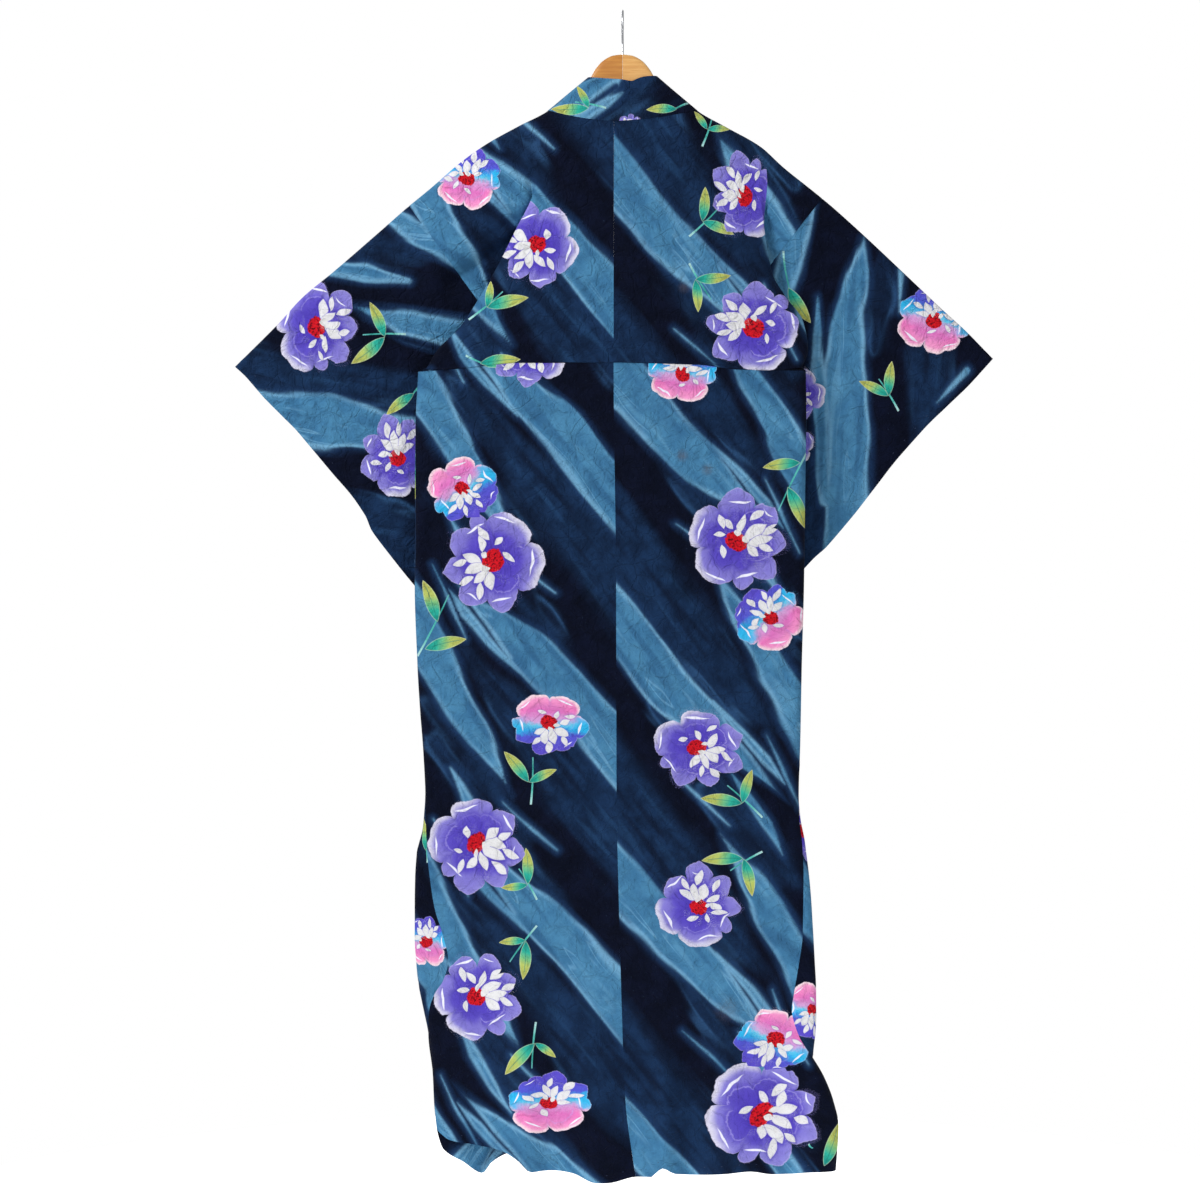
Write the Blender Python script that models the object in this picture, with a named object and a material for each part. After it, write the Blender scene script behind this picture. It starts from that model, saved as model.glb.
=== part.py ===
"""An unlined cotton kimono hung on a wooden hanger, seen from its back along -Y.

Metres, +Z up. The origin is the inside of the hook's crown, where the rail carries it.
+Y is out of the garment's back and +X is to the wearer's left. Lengths below are in
millimetres: a drop is a depth below the origin, and a reach is a distance from X = 0.
"""

import math

import bmesh
import bpy
import numpy as np

MM = 0.001

# Cloth and seams
CLOTH = 1.2
COLLAR_CLOTH = 2.4
SEAM_GAP = 0.3
LAYER_PITCH = 3.0

# The depth of the hung body
HOLLOW = 10.0
OUTER_HOLLOW = 5.0
HOLLOW_END_REACH = 215.0
OUTER_HOLLOW_REACH = 310.0
HOLLOW_RETURN_DROP = 460.0
HOLLOW_RETURN_DEPTH = 160.0
SHOULDER_BOW = 15.0
BOW_REACH = 220.0
BOW_FADE_TOP = 200.0
BOW_FADE_DEPTH = 350.0
SIDE_ROUND = 10.0
BACK_HEM_DROP = 1690.0
FRONT_HEM_DROP = 1650.0
FOLD_GROWTH = 1.3

# The neck of the back and its seam with the collar
NECK_REACH = 108.0
NECK_SAG = 12.0

# The pleat below each end of the hanger, in layers of cloth behind the back's own
UNDER_LAYERS = 2.0
BACK_STRIP_LAYERS = 3.0
FRONT_STRIP_LAYERS = 4.4
PLEAT_OPENS = -6.0
PLEAT_WHOLE = 12.0
PLEAT_RATE = 2.5
STRIP_RATE = 1.2
STRIP_SHARE_RATE = 1.4
TOP_ROUND_RATE = 12.0
FRONT_DIVE_START = 17.0
FRONT_DIVE_END = 6.0
FRONT_LEAST_FLAT = 20.0
SAG_POWER = 3

# The cut of the sleeve, and its seam with the body
SLEEVE_DEPTH = 490.0
SLEEVE_WIDTH = 345.0
SLEEVE_PUFF = 7.6
SLEEVE_DIVE = 20.5
SLEEVE_DIVE_DEPTH = 250.0
SLEEVE_HALF_DEPTH = 4.5
CUFF_OPENING = 230.0
CUFF_CLOSE_DEPTH = 60.0
CUFF_CLOSE_SHARE = 0.8
FOOT_CLOSE_SHARE = 0.86
PUFF_EDGE_ACROSS = 0.02
PUFF_EDGE_DOWN = 0.05
PLEAT_ARMHOLE_SHARE = 0.75
SEAM_SAMPLES = 25
SEAM_RELEASE = 175.0
RELEASE_LENGTH = 35.0
SEAM_BLEND = 60.0
ARMHOLE_END_GAP = 1.5

# The waist tuck across the back
TUCK_STEP = 1.8
TUCK_FALL = 0.9
TUCK_SIDE_FADE = 20.0

# The fronts, which overlap under the sleeves
FRONT_LAYER = {1: -11.0, -1: -4.0}
FRONT_OVERLAP_START = 60.0
FRONT_OVERLAP_REACH = 170.0
FRONT_LAYER_TOP = 150.0
FRONT_LAYER_DEPTH = 120.0
OKUMI_SEAM_REACH = 58.0
OKUMI_HEM_DROP = 1500.0
OKUMI_HEM_DEPTH = 150.0

# The collar, which runs over each shoulder and down the edge of each front
COLLAR_MIDDLE_X = 1.5
COLLAR_SHOULDER_REACH = 50.0
COLLAR_SHOULDER_DROP = 95.5
COLLAR_TOP_JOIN = 144.0
COLLAR_FREE_LIFT = 4.0
COLLAR_TURN_DEPTH = 120.0
COLLAR_FREE_LEAD = 20.0
COLLAR_END_DROP = 905.0

# The hanger and its hook
HANGER_THICK = 13.0
ARM_ROUND_REACH = 200.0
ARM_ROUND_LENGTH = 24.0
ARM_LEAST_ROUND = 0.15
ARM_CORNER = 0.7
HOOK_WIRE = 3.5
HOOK_INNER_RADIUS = 16.0
HOOK_FIRST_DEGREE = 235
HOOK_LAST_DEGREE = -41
HOOK_STEP = 15

# The steps of each surface: counts, shares of a length, and lengths
TURN_STEPS = 3
UNDER_STEPS = 2
DIVE_STEPS = 4
CENTRE_STEPS = 8
CENTRE_SHARE = 0.8
OUTER_CROWDING = 1.8
STRIP_STEPS = 4
OUTER_STEPS = 3
NECK_COLUMNS = np.array([0, 0.3, 0.6, 0.86, 0.96, 1.0])
UPPER_ROWS = np.array([0, 0.004, 0.016, 0.035, 0.1, 0.2, 0.3, 0.4, 0.52, 0.65, 0.76, 0.875, 0.94, 1.0])
LOWER_ROWS = np.array(
    [0, 0.03, 0.14, 0.3, 0.46, 0.57, 0.63, 0.68, 0.72, 0.755, 0.79, 0.82, 0.845, 0.86, 0.91, 0.955, 1.0]
)
SLEEVE_ROWS = np.array(
    [0, 0.004, 0.012, 0.04, 0.12, 0.2, 0.28, 0.36, 0.42, 0.47, 0.53, 0.6, 0.68, 0.76, 0.86, 0.94, 1.0]
)
SLEEVE_COLUMNS = np.array([0, 0.02, 0.06, 0.12, 0.2, 0.35, 0.5, 0.65, 0.8, 0.92, 1.0])
COLLAR_COLUMNS = np.array([0, 0.35, 0.7, 1.0])
COLLAR_BACK_ROWS = np.array([0, 0.25, 0.5, 0.75, 0.87, 0.95, 0.98, 1.0])
COLLAR_FRONT_DROPS = np.array([145.5, 149, 156, 170, 200, 260, 340, 430, 520, 620, 720, 820, 905])
OKUMI_DROPS = np.array([448, 500, 620, 760, 905, 1050, 1180, 1260, 1340, 1420, 1500, 1570, 1650])
OKUMI_COLUMNS = np.linspace(0, 1, 7)
HANGER_REACHES = np.array([0.15, 14, 28, 39, 49, 60, 80, 110, 150, 185, 205, 216, 221])
HANGER_RING = 12
HOOK_RING = 10

SIDES = {"left": 1, "right": -1}


def table(columns, rows):
    """A dict of named columns, each an array, from rows of numbers."""
    return dict(zip(columns.split(), np.array(rows, float).T))


# The shoulder line, which is the fold over the hanger and then the fold of each sleeve
SHOULDER = table(
    "reach left right",
    [
        (50, 95.5, 93.7),
        (80, 120, 117),
        (110, 144, 143.5),
        (150, 164, 165.5),
        (200, 191, 193),
        (235, 215.5, 224),
        (280, 254.6, 260),
        (310, 279.3, 285),
        (350, 314, 321),
        (420, 374.7, 387),
        (465, 412, 429.6),
        (500, 450, 461.7),
        (540, 490, 502.5),
        (565, 514.5, 526),
    ],
)

# The pleat that each half of the body makes below the hanger's end, one row for each
# section from the shoulder line to the tuck. It turns in at the fold, runs under to the
# hidden fold and comes out to the sleeve seam. Sink is how far the outer strip has gone
# from the back's layer to its own.
PLEAT = {
    "left": table(
        "fold fold_drop hidden hidden_drop seam seam_drop sink",
        [
            (132, 156.5, 160, 169, 310.3, 279.3, 0),
            (124, 197, 150, 212, 283.8, 315.6, 0.05),
            (124, 244, 133, 268, 257.2, 351.9, 0.4),
            (152, 307, 138, 318, 236.5, 380.2, 0.8),
            (184, 371, 160, 378, 215.9, 408.4, 1),
            (209, 414, 172, 422, 195.2, 436.7, 1),
            (237, 457, 158, 458, 174.6, 465, 1),
            (270, 491, 232, 494, 246, 500, 1),
            (286, 520, 290, 521, 296, 521.4, 0),
        ],
    ),
    "right": table(
        "fold fold_drop hidden hidden_drop seam seam_drop sink",
        [
            (186, 184, 214, 206, 290, 268, 0),
            (195, 232, 216, 247, 266.5, 298.3, 0.05),
            (202, 285, 208, 292, 242.9, 328.5, 0.4),
            (210, 339, 198, 345, 219.4, 358.8, 0.8),
            (218, 378, 182, 382, 195.8, 389, 1),
            (236, 410, 158, 414, 172.3, 419.3, 1),
            (262, 448, 134, 444, 148.7, 449.5, 1),
            (269, 488, 206, 486, 218, 490, 1),
            (258, 518.5, 261, 519, 265.4, 519.5, 0),
        ],
    ),
}

# The seam up the middle of the back
MIDDLE = table(
    "drop x",
    [
        (159, 12.5),
        (508, 13),
        (827, 9.4),
        (1122, 8.7),
        (1313, 4.9),
        (1432, 1.5),
        (1574, -3.9),
        (1690, -19),
    ],
)

# The side seam below the tuck, and the front's fold where it stands out past the seam
SIDE = {
    "left": table(
        "drop seam edge",
        [
            (521, 296, 296),
            (608, 300, 300),
            (700, 299.5, 300.5),
            (775, 298.7, 301),
            (830, 301, 301),
            (939, 297.3, 297.3),
            (1016, 292.9, 292.9),
            (1061, 289.3, 289.3),
            (1128, 285.7, 285.7),
            (1180, 284.2, 289),
            (1219, 282.8, 297.8),
            (1258, 278.4, 300.3),
            (1302, 271, 301),
            (1338, 259.6, 301),
            (1374, 252.3, 299),
            (1403, 259.6, 296.5),
            (1420, 271, 293.3),
            (1447, 279.9, 288),
            (1480, 281.3, 281.3),
            (1541, 274.6, 274.6),
            (1584, 272.6, 272.6),
            (1619, 269, 269),
        ],
    ),
    "right": table(
        "drop seam edge",
        [
            (519.5, 265.4, 265.4),
            (586, 266.2, 266.2),
            (642, 265.4, 265.4),
            (748, 263.9, 263.9),
            (827, 262.9, 262.9),
            (949, 259.6, 259.6),
            (1061, 257.4, 257.4),
            (1135, 255.2, 255.2),
            (1167, 255.8, 257.4),
            (1201, 259.5, 264),
            (1257, 261.9, 270.7),
            (1335, 260.7, 276.2),
            (1379, 255.2, 278.4),
            (1422, 248, 280.5),
            (1444, 245, 280.6),
            (1480, 254, 279.3),
            (1516, 276, 276),
            (1542, 291.3, 291.3),
            (1579, 305.7, 305.7),
            (1614, 312.9, 312.9),
            (1678, 309, 309),
        ],
    ),
}

# The line of the tuck, and the hem of the back, by X
TUCK = table(
    "x drop",
    [(-270, 519.5), (-170, 518), (-112, 511), (13, 508), (149, 508), (222, 515), (300, 521.4)],
)
HEM = table(
    "x drop",
    [
        (-310, 1678),
        (-279, 1678.5),
        (-243, 1683),
        (-219, 1684.3),
        (-183, 1679),
        (-147, 1681.4),
        (-107, 1684.5),
        (-78, 1682),
        (-60, 1672),
        (-50, 1679),
        (-42, 1686.6),
        (-19, 1688),
        (20, 1695),
        (40, 1694),
        (72, 1681.5),
        (110, 1678),
        (131, 1679),
        (150, 1662),
        (175, 1649),
        (213, 1641),
        (249, 1633.6),
        (269, 1619),
    ],
)

# The hem of each front, by reach
FRONT_HEM = table(
    "reach left right",
    [
        (-110, 1640, 1640),
        (60, 1650, 1655),
        (140, 1650, 1660),
        (164, 1656, 1660),
        (187, 1671, 1662),
        (200, 1687, 1662),
        (227, 1668, 1664),
        (254, 1649, 1668),
        (269, 1619, 1671),
        (310, 1600, 1678),
    ],
)

# The soft folds of the hanging cloth, each a swell across the panel that grows to the hem
BACK_FOLDS = table(
    "x width height top",
    [
        (-282, 24, 9, 1330),
        (-225, 30, -8, 1250),
        (-150, 26, 8, 1200),
        (-105, 20, -6, 1380),
        (-60, 15, 15, 1300),
        (-15, 22, -8, 1350),
        (40, 24, 9, 1300),
        (92, 22, -8, 1250),
        (142, 17, 11, 1330),
        (205, 30, -7, 1150),
    ],
)
FRONT_FOLDS = table(
    "x width height top",
    [
        (-230, 34, 7, 1000),
        (-150, 28, -8, 1050),
        (-70, 26, 6, 1150),
        (35, 24, -8, 1000),
        (120, 26, 7, 1100),
        (200, 22, -14, 1200),
        (255, 20, 8, 1300),
    ],
)

# The top edge of the collar behind the neck, and the collar's edges down each front
COLLAR_TOP = table(
    "x drop",
    [(-50, 93.7), (-36, 94), (-24, 96.5), (-13, 101), (1.5, 98.8), (20, 97.6), (50, 95.5)],
)
COLLAR_FRONT = table(
    "drop free seam",
    [
        (95, 50, 108),
        (145, 47, 108),
        (170, 45, 106),
        (250, 35, 97),
        (400, 2, 66),
        (550, -34, 31),
        (700, -64, 1),
        (850, -86, -20),
        (905, -91, -25),
    ],
)
OKUMI_EDGE = table("drop free", [(905, -91), (1200, -92), (1450, -88), (1650, -80)])

# The outline of the sleeves' open ends, as how far each stands out from a straight line
CUFF_BOW = {
    "left": table(
        "share out",
        [
            (0, 0),
            (0.05, -3),
            (0.115, -3.6),
            (0.2, -7),
            (0.27, -9.8),
            (0.42, -10),
            (0.5, -11),
            (0.58, -7.8),
            (0.636, -0.5),
            (0.7, 1),
            (0.81, 2),
            (1, 0),
        ],
    ),
    "right": table(
        "share out",
        [
            (0, 0),
            (0.09, 0),
            (0.19, -3),
            (0.29, -6),
            (0.4, -5.5),
            (0.515, -1.5),
            (0.63, 2.5),
            (0.74, 3.8),
            (0.8, 1),
            (1, 0),
        ],
    ),
}
SLEEVE_CORNERS = {
    "left": table("reach drop", [(310.3, 279.3), (563.3, 512.7), (251.7, 891.0), (21.2, 676.2)]),
    "right": table("reach drop", [(290.0, 268.0), (538.7, 501.0), (211.4, 865.6), (-8.9, 652.0)]),
}

# The top and the bottom of the wooden hanger, by reach
HANGER = table(
    "reach top bottom",
    [
        (0, 61, 116),
        (13, 62.5, 116),
        (28, 70, 117),
        (39, 82, 119),
        (49, 98.5, 122),
        (60, 108, 127),
        (80, 125, 141),
        (110, 149.5, 162),
        (150, 170.5, 184),
        (200, 198, 218),
        (212, 206, 228),
        (222, 219, 231),
    ],
)

# The path of the hook's wire, from the wood up to its bend
HOOK_PATH = table("y drop", [(0, 61.3), (0, 52), (-1.2, 44), (-4.5, 37)])


def curve(t, ts, values):
    """A smooth curve through a table's points that never overshoots them."""
    ts, values = np.asarray(ts, float), np.asarray(values, float)
    steps = np.diff(ts)
    slopes = np.diff(values) / steps
    tangents = np.concatenate([slopes[:1], np.zeros(len(ts) - 2), slopes[-1:]])
    same = slopes[:-1] * slopes[1:] > 0
    inner = np.where(same, 2 * slopes[:-1] * slopes[1:] / np.where(same, slopes[:-1] + slopes[1:], 1), 0)
    tangents[1:-1] = inner
    t = np.clip(np.asarray(t, float), ts[0], ts[-1])
    i = np.clip(np.searchsorted(ts, t) - 1, 0, len(steps) - 1)
    s = (t - ts[i]) / steps[i]
    rise = values[i + 1] - values[i]
    return (
        values[i]
        + rise * s * s * (3 - 2 * s)
        + steps[i] * tangents[i] * s * (1 - s) ** 2
        - steps[i] * tangents[i + 1] * s * s * (1 - s)
    )


def ease(t):
    """0 to 1 with flat ends."""
    t = np.clip(t, 0.0, 1.0)
    return t * t * (3 - 2 * t)


def quarter(t):
    """The rise of a quarter circle, 0 to 1."""
    t = np.clip(t, 0.0, 1.0)
    return np.sqrt(1 - (1 - t) ** 2)


def mix(a, b, share):
    return a + (b - a) * share


def shoulder_drop(x):
    """The drop of the shoulder line at X."""
    left = curve(np.abs(x), SHOULDER["reach"], SHOULDER["left"])
    right = curve(np.abs(x), SHOULDER["reach"], SHOULDER["right"])
    return np.where(np.asarray(x) > 0, left, right)


def middle_depth(x, drop):
    """Y half way between back and front: the hanger's arms bow to the front."""
    fade = 1 - ease((drop - BOW_FADE_TOP) / BOW_FADE_DEPTH)
    return -SHOULDER_BOW * np.minimum(np.abs(x) / BOW_REACH, 1) ** 2 * fade


def half_hollow(x, drop):
    """How far a layer stands from the middle, rounding over the shoulder line."""
    end = ease((np.abs(x) - HOLLOW_END_REACH) / (OUTER_HOLLOW_REACH - HOLLOW_END_REACH))
    high = ease((HOLLOW_RETURN_DROP - drop) / HOLLOW_RETURN_DEPTH)
    hollow = mix(HOLLOW, OUTER_HOLLOW, end * high)
    return hollow * quarter((drop - shoulder_drop(x)) / hollow)


def folds(x, drop, swells, hem):
    """The sum of the soft folds at a point."""
    total = np.zeros_like(np.asarray(x, float))
    for at, width, height, top in zip(*swells.values()):
        growth = ease((drop - top) / (hem - top)) ** FOLD_GROWTH
        total = total + height * np.exp(-(((x - at) / width) ** 2)) * growth
    return total


def back_depth(x, drop):
    """Y of the back's cloth where it hangs flat."""
    return middle_depth(x, drop) + half_hollow(x, drop) + folds(x, drop, BACK_FOLDS, BACK_HEM_DROP)


def front_depth(x, drop, side):
    """Y of a front's cloth where it hangs flat. The left front lies over the right one."""
    near = 1 - ease((side * x - FRONT_OVERLAP_START) / (FRONT_OVERLAP_REACH - FRONT_OVERLAP_START))
    below = ease((drop - FRONT_LAYER_TOP) / FRONT_LAYER_DEPTH)
    layer = mix(-HOLLOW, FRONT_LAYER[side], near * below)
    scale = layer / -HOLLOW
    swells = folds(x, drop, FRONT_FOLDS, FRONT_HEM_DROP)
    return middle_depth(x, drop) - half_hollow(x, drop) * scale + swells


def pleat_levels(face, reference, sink, is_back):
    """Y of a body layer's three stretches through the pleat: its face, under it and its strip."""
    strip_layers = BACK_STRIP_LAYERS if is_back else FRONT_STRIP_LAYERS
    under = mix(face, reference - UNDER_LAYERS * LAYER_PITCH, sink)
    strip = mix(face, reference - strip_layers * LAYER_PITCH, sink)
    return face, under, strip


def dive_path(start, end, levels):
    """Reach and Y of a front where it passes under the back's hidden fold."""
    shares = np.linspace(0, 1, DIVE_STEPS + 1)
    return np.stack([mix(start, end, shares), mix(levels[0], levels[2], ease(shares))], axis=1)


def pleat_path(fold, hidden, levels, folded):
    """Reach and Y from the flat part, round the fold, under it and round the hidden fold."""
    face, under, strip = levels
    near, far = (face - under) / 2, (under - strip) / 2
    points = []
    for k in range(TURN_STEPS + 1):
        angle = math.pi * k / TURN_STEPS
        points.append((fold - near + near * math.sin(angle), under + near + near * math.cos(angle)))
    for k in range(1, UNDER_STEPS):
        points.append((mix(fold - near, hidden + far, k / UNDER_STEPS), under))
    for k in range(TURN_STEPS + 1):
        angle = math.pi * k / TURN_STEPS
        points.append((hidden + far - far * math.sin(angle), strip + far + far * math.cos(angle)))
    turned = np.array(points)
    shares = np.linspace(0, 1, len(turned))
    flat = np.stack([mix(fold, hidden, shares), mix(face, strip, ease(shares))], axis=1)
    return mix(flat, turned, folded)


def clear_scene():
    for obj in list(bpy.data.objects):
        bpy.data.objects.remove(obj, do_unlink=True)


def material(name, colour, roughness, metallic=0.0):
    made = bpy.data.materials.new(name)
    made.use_nodes = True
    shader = made.node_tree.nodes["Principled BSDF"]
    shader.inputs["Base Color"].default_value = (*colour, 1.0)
    shader.inputs["Roughness"].default_value = roughness
    shader.inputs["Metallic"].default_value = metallic
    return made


def to_world(x, y, drop):
    return np.stack(np.broadcast_arrays(x, y, -np.asarray(drop, float)), axis=-1) * MM


def trimmed(grid, edges, amount=SEAM_GAP / 2):
    """The grid with the named edges drawn in, which leaves the gap of a seam."""
    grid = grid.copy()
    views = {"top": grid, "first": grid.swapaxes(0, 1), "last": grid[:, ::-1].swapaxes(0, 1)}
    for edge in edges:
        view = views[edge]
        inward = view[1] - view[0]
        length = np.maximum(np.linalg.norm(inward, axis=-1, keepdims=True), 1e-9)
        view[0] += inward / length * amount * MM
    return grid


def wall(name, grid, thickness, cloth, folded_top=False, last_normals=None):
    """A closed wall of even thickness on a grid of points, rows by columns.

    At the middle seam and at a folded top the ends are square, so that two walls meet evenly.
    """
    across = np.gradient(grid, axis=1)
    down = np.gradient(grid, axis=0)
    normal = np.cross(down, across)
    if folded_top:
        normal[0, :, 1] = 0
    if last_normals is not None:
        normal[:, 0, 0] = 0
        known = ~np.isnan(last_normals[:, 0])
        facing = np.sign((normal[known, -1] * last_normals[known]).sum(axis=1, keepdims=True))
        normal[known, -1] = last_normals[known] * facing
    normal /= np.maximum(np.linalg.norm(normal, axis=-1, keepdims=True), 1e-12)
    half = normal * thickness * MM / 2
    rows, columns = grid.shape[:2]
    outer, inner = (grid + half).reshape(-1, 3), (grid - half).reshape(-1, 3)
    points = np.concatenate([outer, inner])
    count = rows * columns
    faces = []
    for r in range(rows - 1):
        for c in range(columns - 1):
            a, b = r * columns + c, r * columns + c + 1
            d, e = a + columns, b + columns
            faces += [(a, d, e, b), (count + a, count + b, count + e, count + d)]
    for c in range(columns - 1):
        last = (rows - 1) * columns
        faces += [(c, c + 1, count + c + 1, count + c)]
        faces += [(last + c + 1, last + c, count + last + c, count + last + c + 1)]
    for r in range(rows - 1):
        a, b = r * columns, (r + 1) * columns
        faces += [(b, a, count + a, count + b)]
        faces += [(a + columns - 1, b + columns - 1, count + b + columns - 1, count + a + columns - 1)]
    return solid(name, points, faces, cloth)


def solid(name, points, faces, surface):
    mesh = bpy.data.meshes.new(name)
    mesh.from_pydata([tuple(p) for p in points], [], faces)
    shape = bmesh.new()
    shape.from_mesh(mesh)
    bmesh.ops.recalc_face_normals(shape, faces=shape.faces)
    bmesh.ops.triangulate(shape, faces=shape.faces)
    shape.to_mesh(mesh)
    shape.free()
    mesh.shade_smooth()
    mesh.materials.append(surface)
    obj = bpy.data.objects.new(name, mesh)
    bpy.context.scene.collection.objects.link(obj)
    return obj


def rounded_depth(x, drop, is_back):
    """Y of a layer where it only rounds over the shoulder line."""
    facing = 1 if is_back else -1
    return middle_depth(x, drop) + facing * half_hollow(x, drop)


def upper_section(side, share, is_back):
    """The rows of one body layer above the tuck: reach, Y and drop along one section."""
    sign = SIDES[side]
    rows = PLEAT[side]
    at = np.linspace(0, 1, len(rows["fold"]))
    value = {name: float(curve(share, at, column)) for name, column in rows.items()}
    overlap = value["fold"] - value["hidden"]
    tucked = float(ease((overlap - PLEAT_OPENS) / (PLEAT_WHOLE - PLEAT_OPENS)))
    turned = max(value["sink"], tucked)
    folded = tucked if is_back else 0.0
    fold, hidden = value["fold"], value["hidden"]
    inner, inner_drop = inner_edge(side, share, is_back)
    if not is_back:
        passing = float(ease(turned * PLEAT_RATE))
        fold = max(mix(fold, hidden - FRONT_DIVE_START, passing), inner + FRONT_LEAST_FLAT)
        hidden = hidden - FRONT_DIVE_END * passing
    reference = float(front_depth(sign * value["fold"], value["fold_drop"], sign))
    if is_back:
        face = float(back_depth(sign * fold, value["fold_drop"]))
    else:
        face = float(front_depth(sign * fold, value["fold_drop"], sign))
    levels = pleat_levels(face, reference, turned, is_back)
    path = pleat_path(fold, hidden, levels, folded) if is_back else dive_path(fold, hidden, levels)
    first = path[0, 0]
    top_inner = inner_edge(side, 0.0, is_back)[0]
    top_fold = float(rows["fold"][0])
    neck = (NECK_REACH - top_inner) / (top_fold - top_inner) if is_back else 0.5
    outer = np.linspace(0, 1, OUTER_STEPS + 1)[1:-1]
    steps = np.concatenate([neck * NECK_COLUMNS, mix(neck, 1, outer)])
    reach = mix(inner, first, steps)
    drop = mix(inner_drop, value["fold_drop"], steps) + edge_sag(side, steps, share, is_back)
    depth = back_depth(sign * reach, drop) if is_back else front_depth(sign * reach, drop, sign)
    out_steps = np.linspace(0, 1, STRIP_STEPS + 1)[1:]
    path_shares = np.linspace(0, 1, len(path))
    path_drop = mix(value["fold_drop"], value["hidden_drop"], path_shares)
    path_line = mix(rows["fold_drop"][0], rows["hidden_drop"][0], path_shares)
    path_reach = mix(rows["fold"][0], rows["hidden"][0], path_shares)
    path_drop += (shoulder_drop(sign * path_reach) - path_line) * (1 - share) ** SAG_POWER
    strip_reach = mix(path[-1, 0], value["seam"], out_steps)
    strip_drop = mix(value["hidden_drop"], value["seam_drop"], out_steps)
    top_line = mix(rows["hidden_drop"][0], rows["seam_drop"][0], out_steps)
    top_reach = mix(rows["hidden"][0], rows["seam"][0], out_steps)
    strip_drop += (shoulder_drop(sign * top_reach) - top_line) * (1 - share) ** SAG_POWER
    top_round = ease(share * TOP_ROUND_RATE)
    path_round = rounded_depth(sign * path[:, 0], path_drop, is_back)
    path_depth = mix(path_round, path[:, 1], ease(turned * PLEAT_RATE) * top_round)
    strip_round = rounded_depth(sign * strip_reach, strip_drop, is_back)
    strip_depth = mix(strip_round, path[-1, 1], ease(value["sink"] * STRIP_RATE) * top_round)
    strip_depth = mix(path_depth[-1], strip_depth, ease(out_steps * STRIP_SHARE_RATE) if tucked > 0 else 1)
    all_reach = np.concatenate([reach, path[:, 0], strip_reach])
    all_depth = np.concatenate([depth, path_depth, strip_depth])
    all_drop = np.concatenate([drop, path_drop, strip_drop])
    return sign * all_reach, all_depth, all_drop


def inner_edge(side, share, is_back):
    """Reach and drop of the inner edge of a body half above the tuck."""
    sign = SIDES[side]
    if is_back:
        drop = mix(MIDDLE["drop"][0], MIDDLE["drop"][1], share)
        return sign * float(curve(drop, MIDDLE["drop"], MIDDLE["x"])), drop
    drop = mix(COLLAR_TOP_JOIN, TUCK["drop"][3], share)
    return max(float(curve(drop, COLLAR_FRONT["drop"], COLLAR_FRONT["seam"])), OKUMI_SEAM_REACH), drop


def neck_drop(reach, sign):
    """The drop of the back's top edge: the arc of the collar seam, and then the shoulder line."""
    inner, inner_drop = MIDDLE["x"][0] * sign, MIDDLE["drop"][0]
    share = np.clip((reach - inner) / (NECK_REACH - inner), 0, 1)
    arc = mix(inner_drop, shoulder_drop(sign * NECK_REACH), share) + NECK_SAG * share * (1 - share)
    return np.where(reach < NECK_REACH, arc, shoulder_drop(sign * reach))


def edge_sag(side, steps, share, is_back):
    """How far the rows sag from straight lines at the top edge and at the tuck."""
    sign = SIDES[side]
    rows = PLEAT[side]
    inner, inner_drop = inner_edge(side, 0.0, is_back)
    top_reach = mix(inner, rows["fold"][0], steps)
    top = neck_drop(top_reach, sign) if is_back else shoulder_drop(sign * top_reach)
    sag = (top - mix(inner_drop, rows["fold_drop"][0], steps)) * (1 - share) ** SAG_POWER
    if is_back:
        tuck_x = sign * mix(sign * MIDDLE["x"][1], rows["fold"][-1], steps)
        straight = mix(MIDDLE["drop"][1], rows["fold_drop"][-1], steps)
        sag = sag + (curve(tuck_x, TUCK["x"], TUCK["drop"]) - straight) * share**SAG_POWER
    return sag


def lower_rows(side, is_back, columns):
    """The rows of one body layer below the tuck."""
    sign = SIDES[side]
    edges = SIDE[side]
    line = np.linspace(0, 1, columns)
    line[: CENTRE_STEPS + 1] = np.linspace(0, CENTRE_SHARE, CENTRE_STEPS + 1)
    crowded = np.linspace(1, 0, columns - CENTRE_STEPS) ** OUTER_CROWDING
    line[CENTRE_STEPS:] = 1 - (1 - CENTRE_SHARE) * crowded
    middle_x = float(MIDDLE["x"][1])
    made = []
    for share in LOWER_ROWS:
        if is_back:
            hem_x = mix(float(MIDDLE["x"][-1]) * sign, float(edges["seam"][-1]), line)
            top_x = sign * mix(middle_x * sign, edges["seam"][0], line)
            top = curve(top_x, TUCK["x"], TUCK["drop"])
            end = curve(sign * hem_x, HEM["x"], HEM["drop"])
        else:
            hem_x = mix(OKUMI_SEAM_REACH, float(edges["seam"][-1]), line)
            top = mix(TUCK["drop"][3], edges["drop"][0], line)
            end = curve(hem_x, FRONT_HEM["reach"], FRONT_HEM[side])
        drop = mix(top, end, share)
        seam = curve(drop, edges["drop"], edges["seam"])
        edge = curve(drop, edges["drop"], edges["edge"])
        if is_back:
            inner = sign * curve(drop, MIDDLE["drop"], MIDDLE["x"])
            reach = mix(inner, seam, line)
            base = middle_depth(sign * reach, drop)
            rounding = quarter((edge - reach) / SIDE_ROUND)
            depth = base + (back_depth(sign * reach, drop) - base) * rounding
        else:
            reach, depth = front_row(side, drop, seam, edge, line)
        made.append((sign * reach, depth, drop))
    return made


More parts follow.
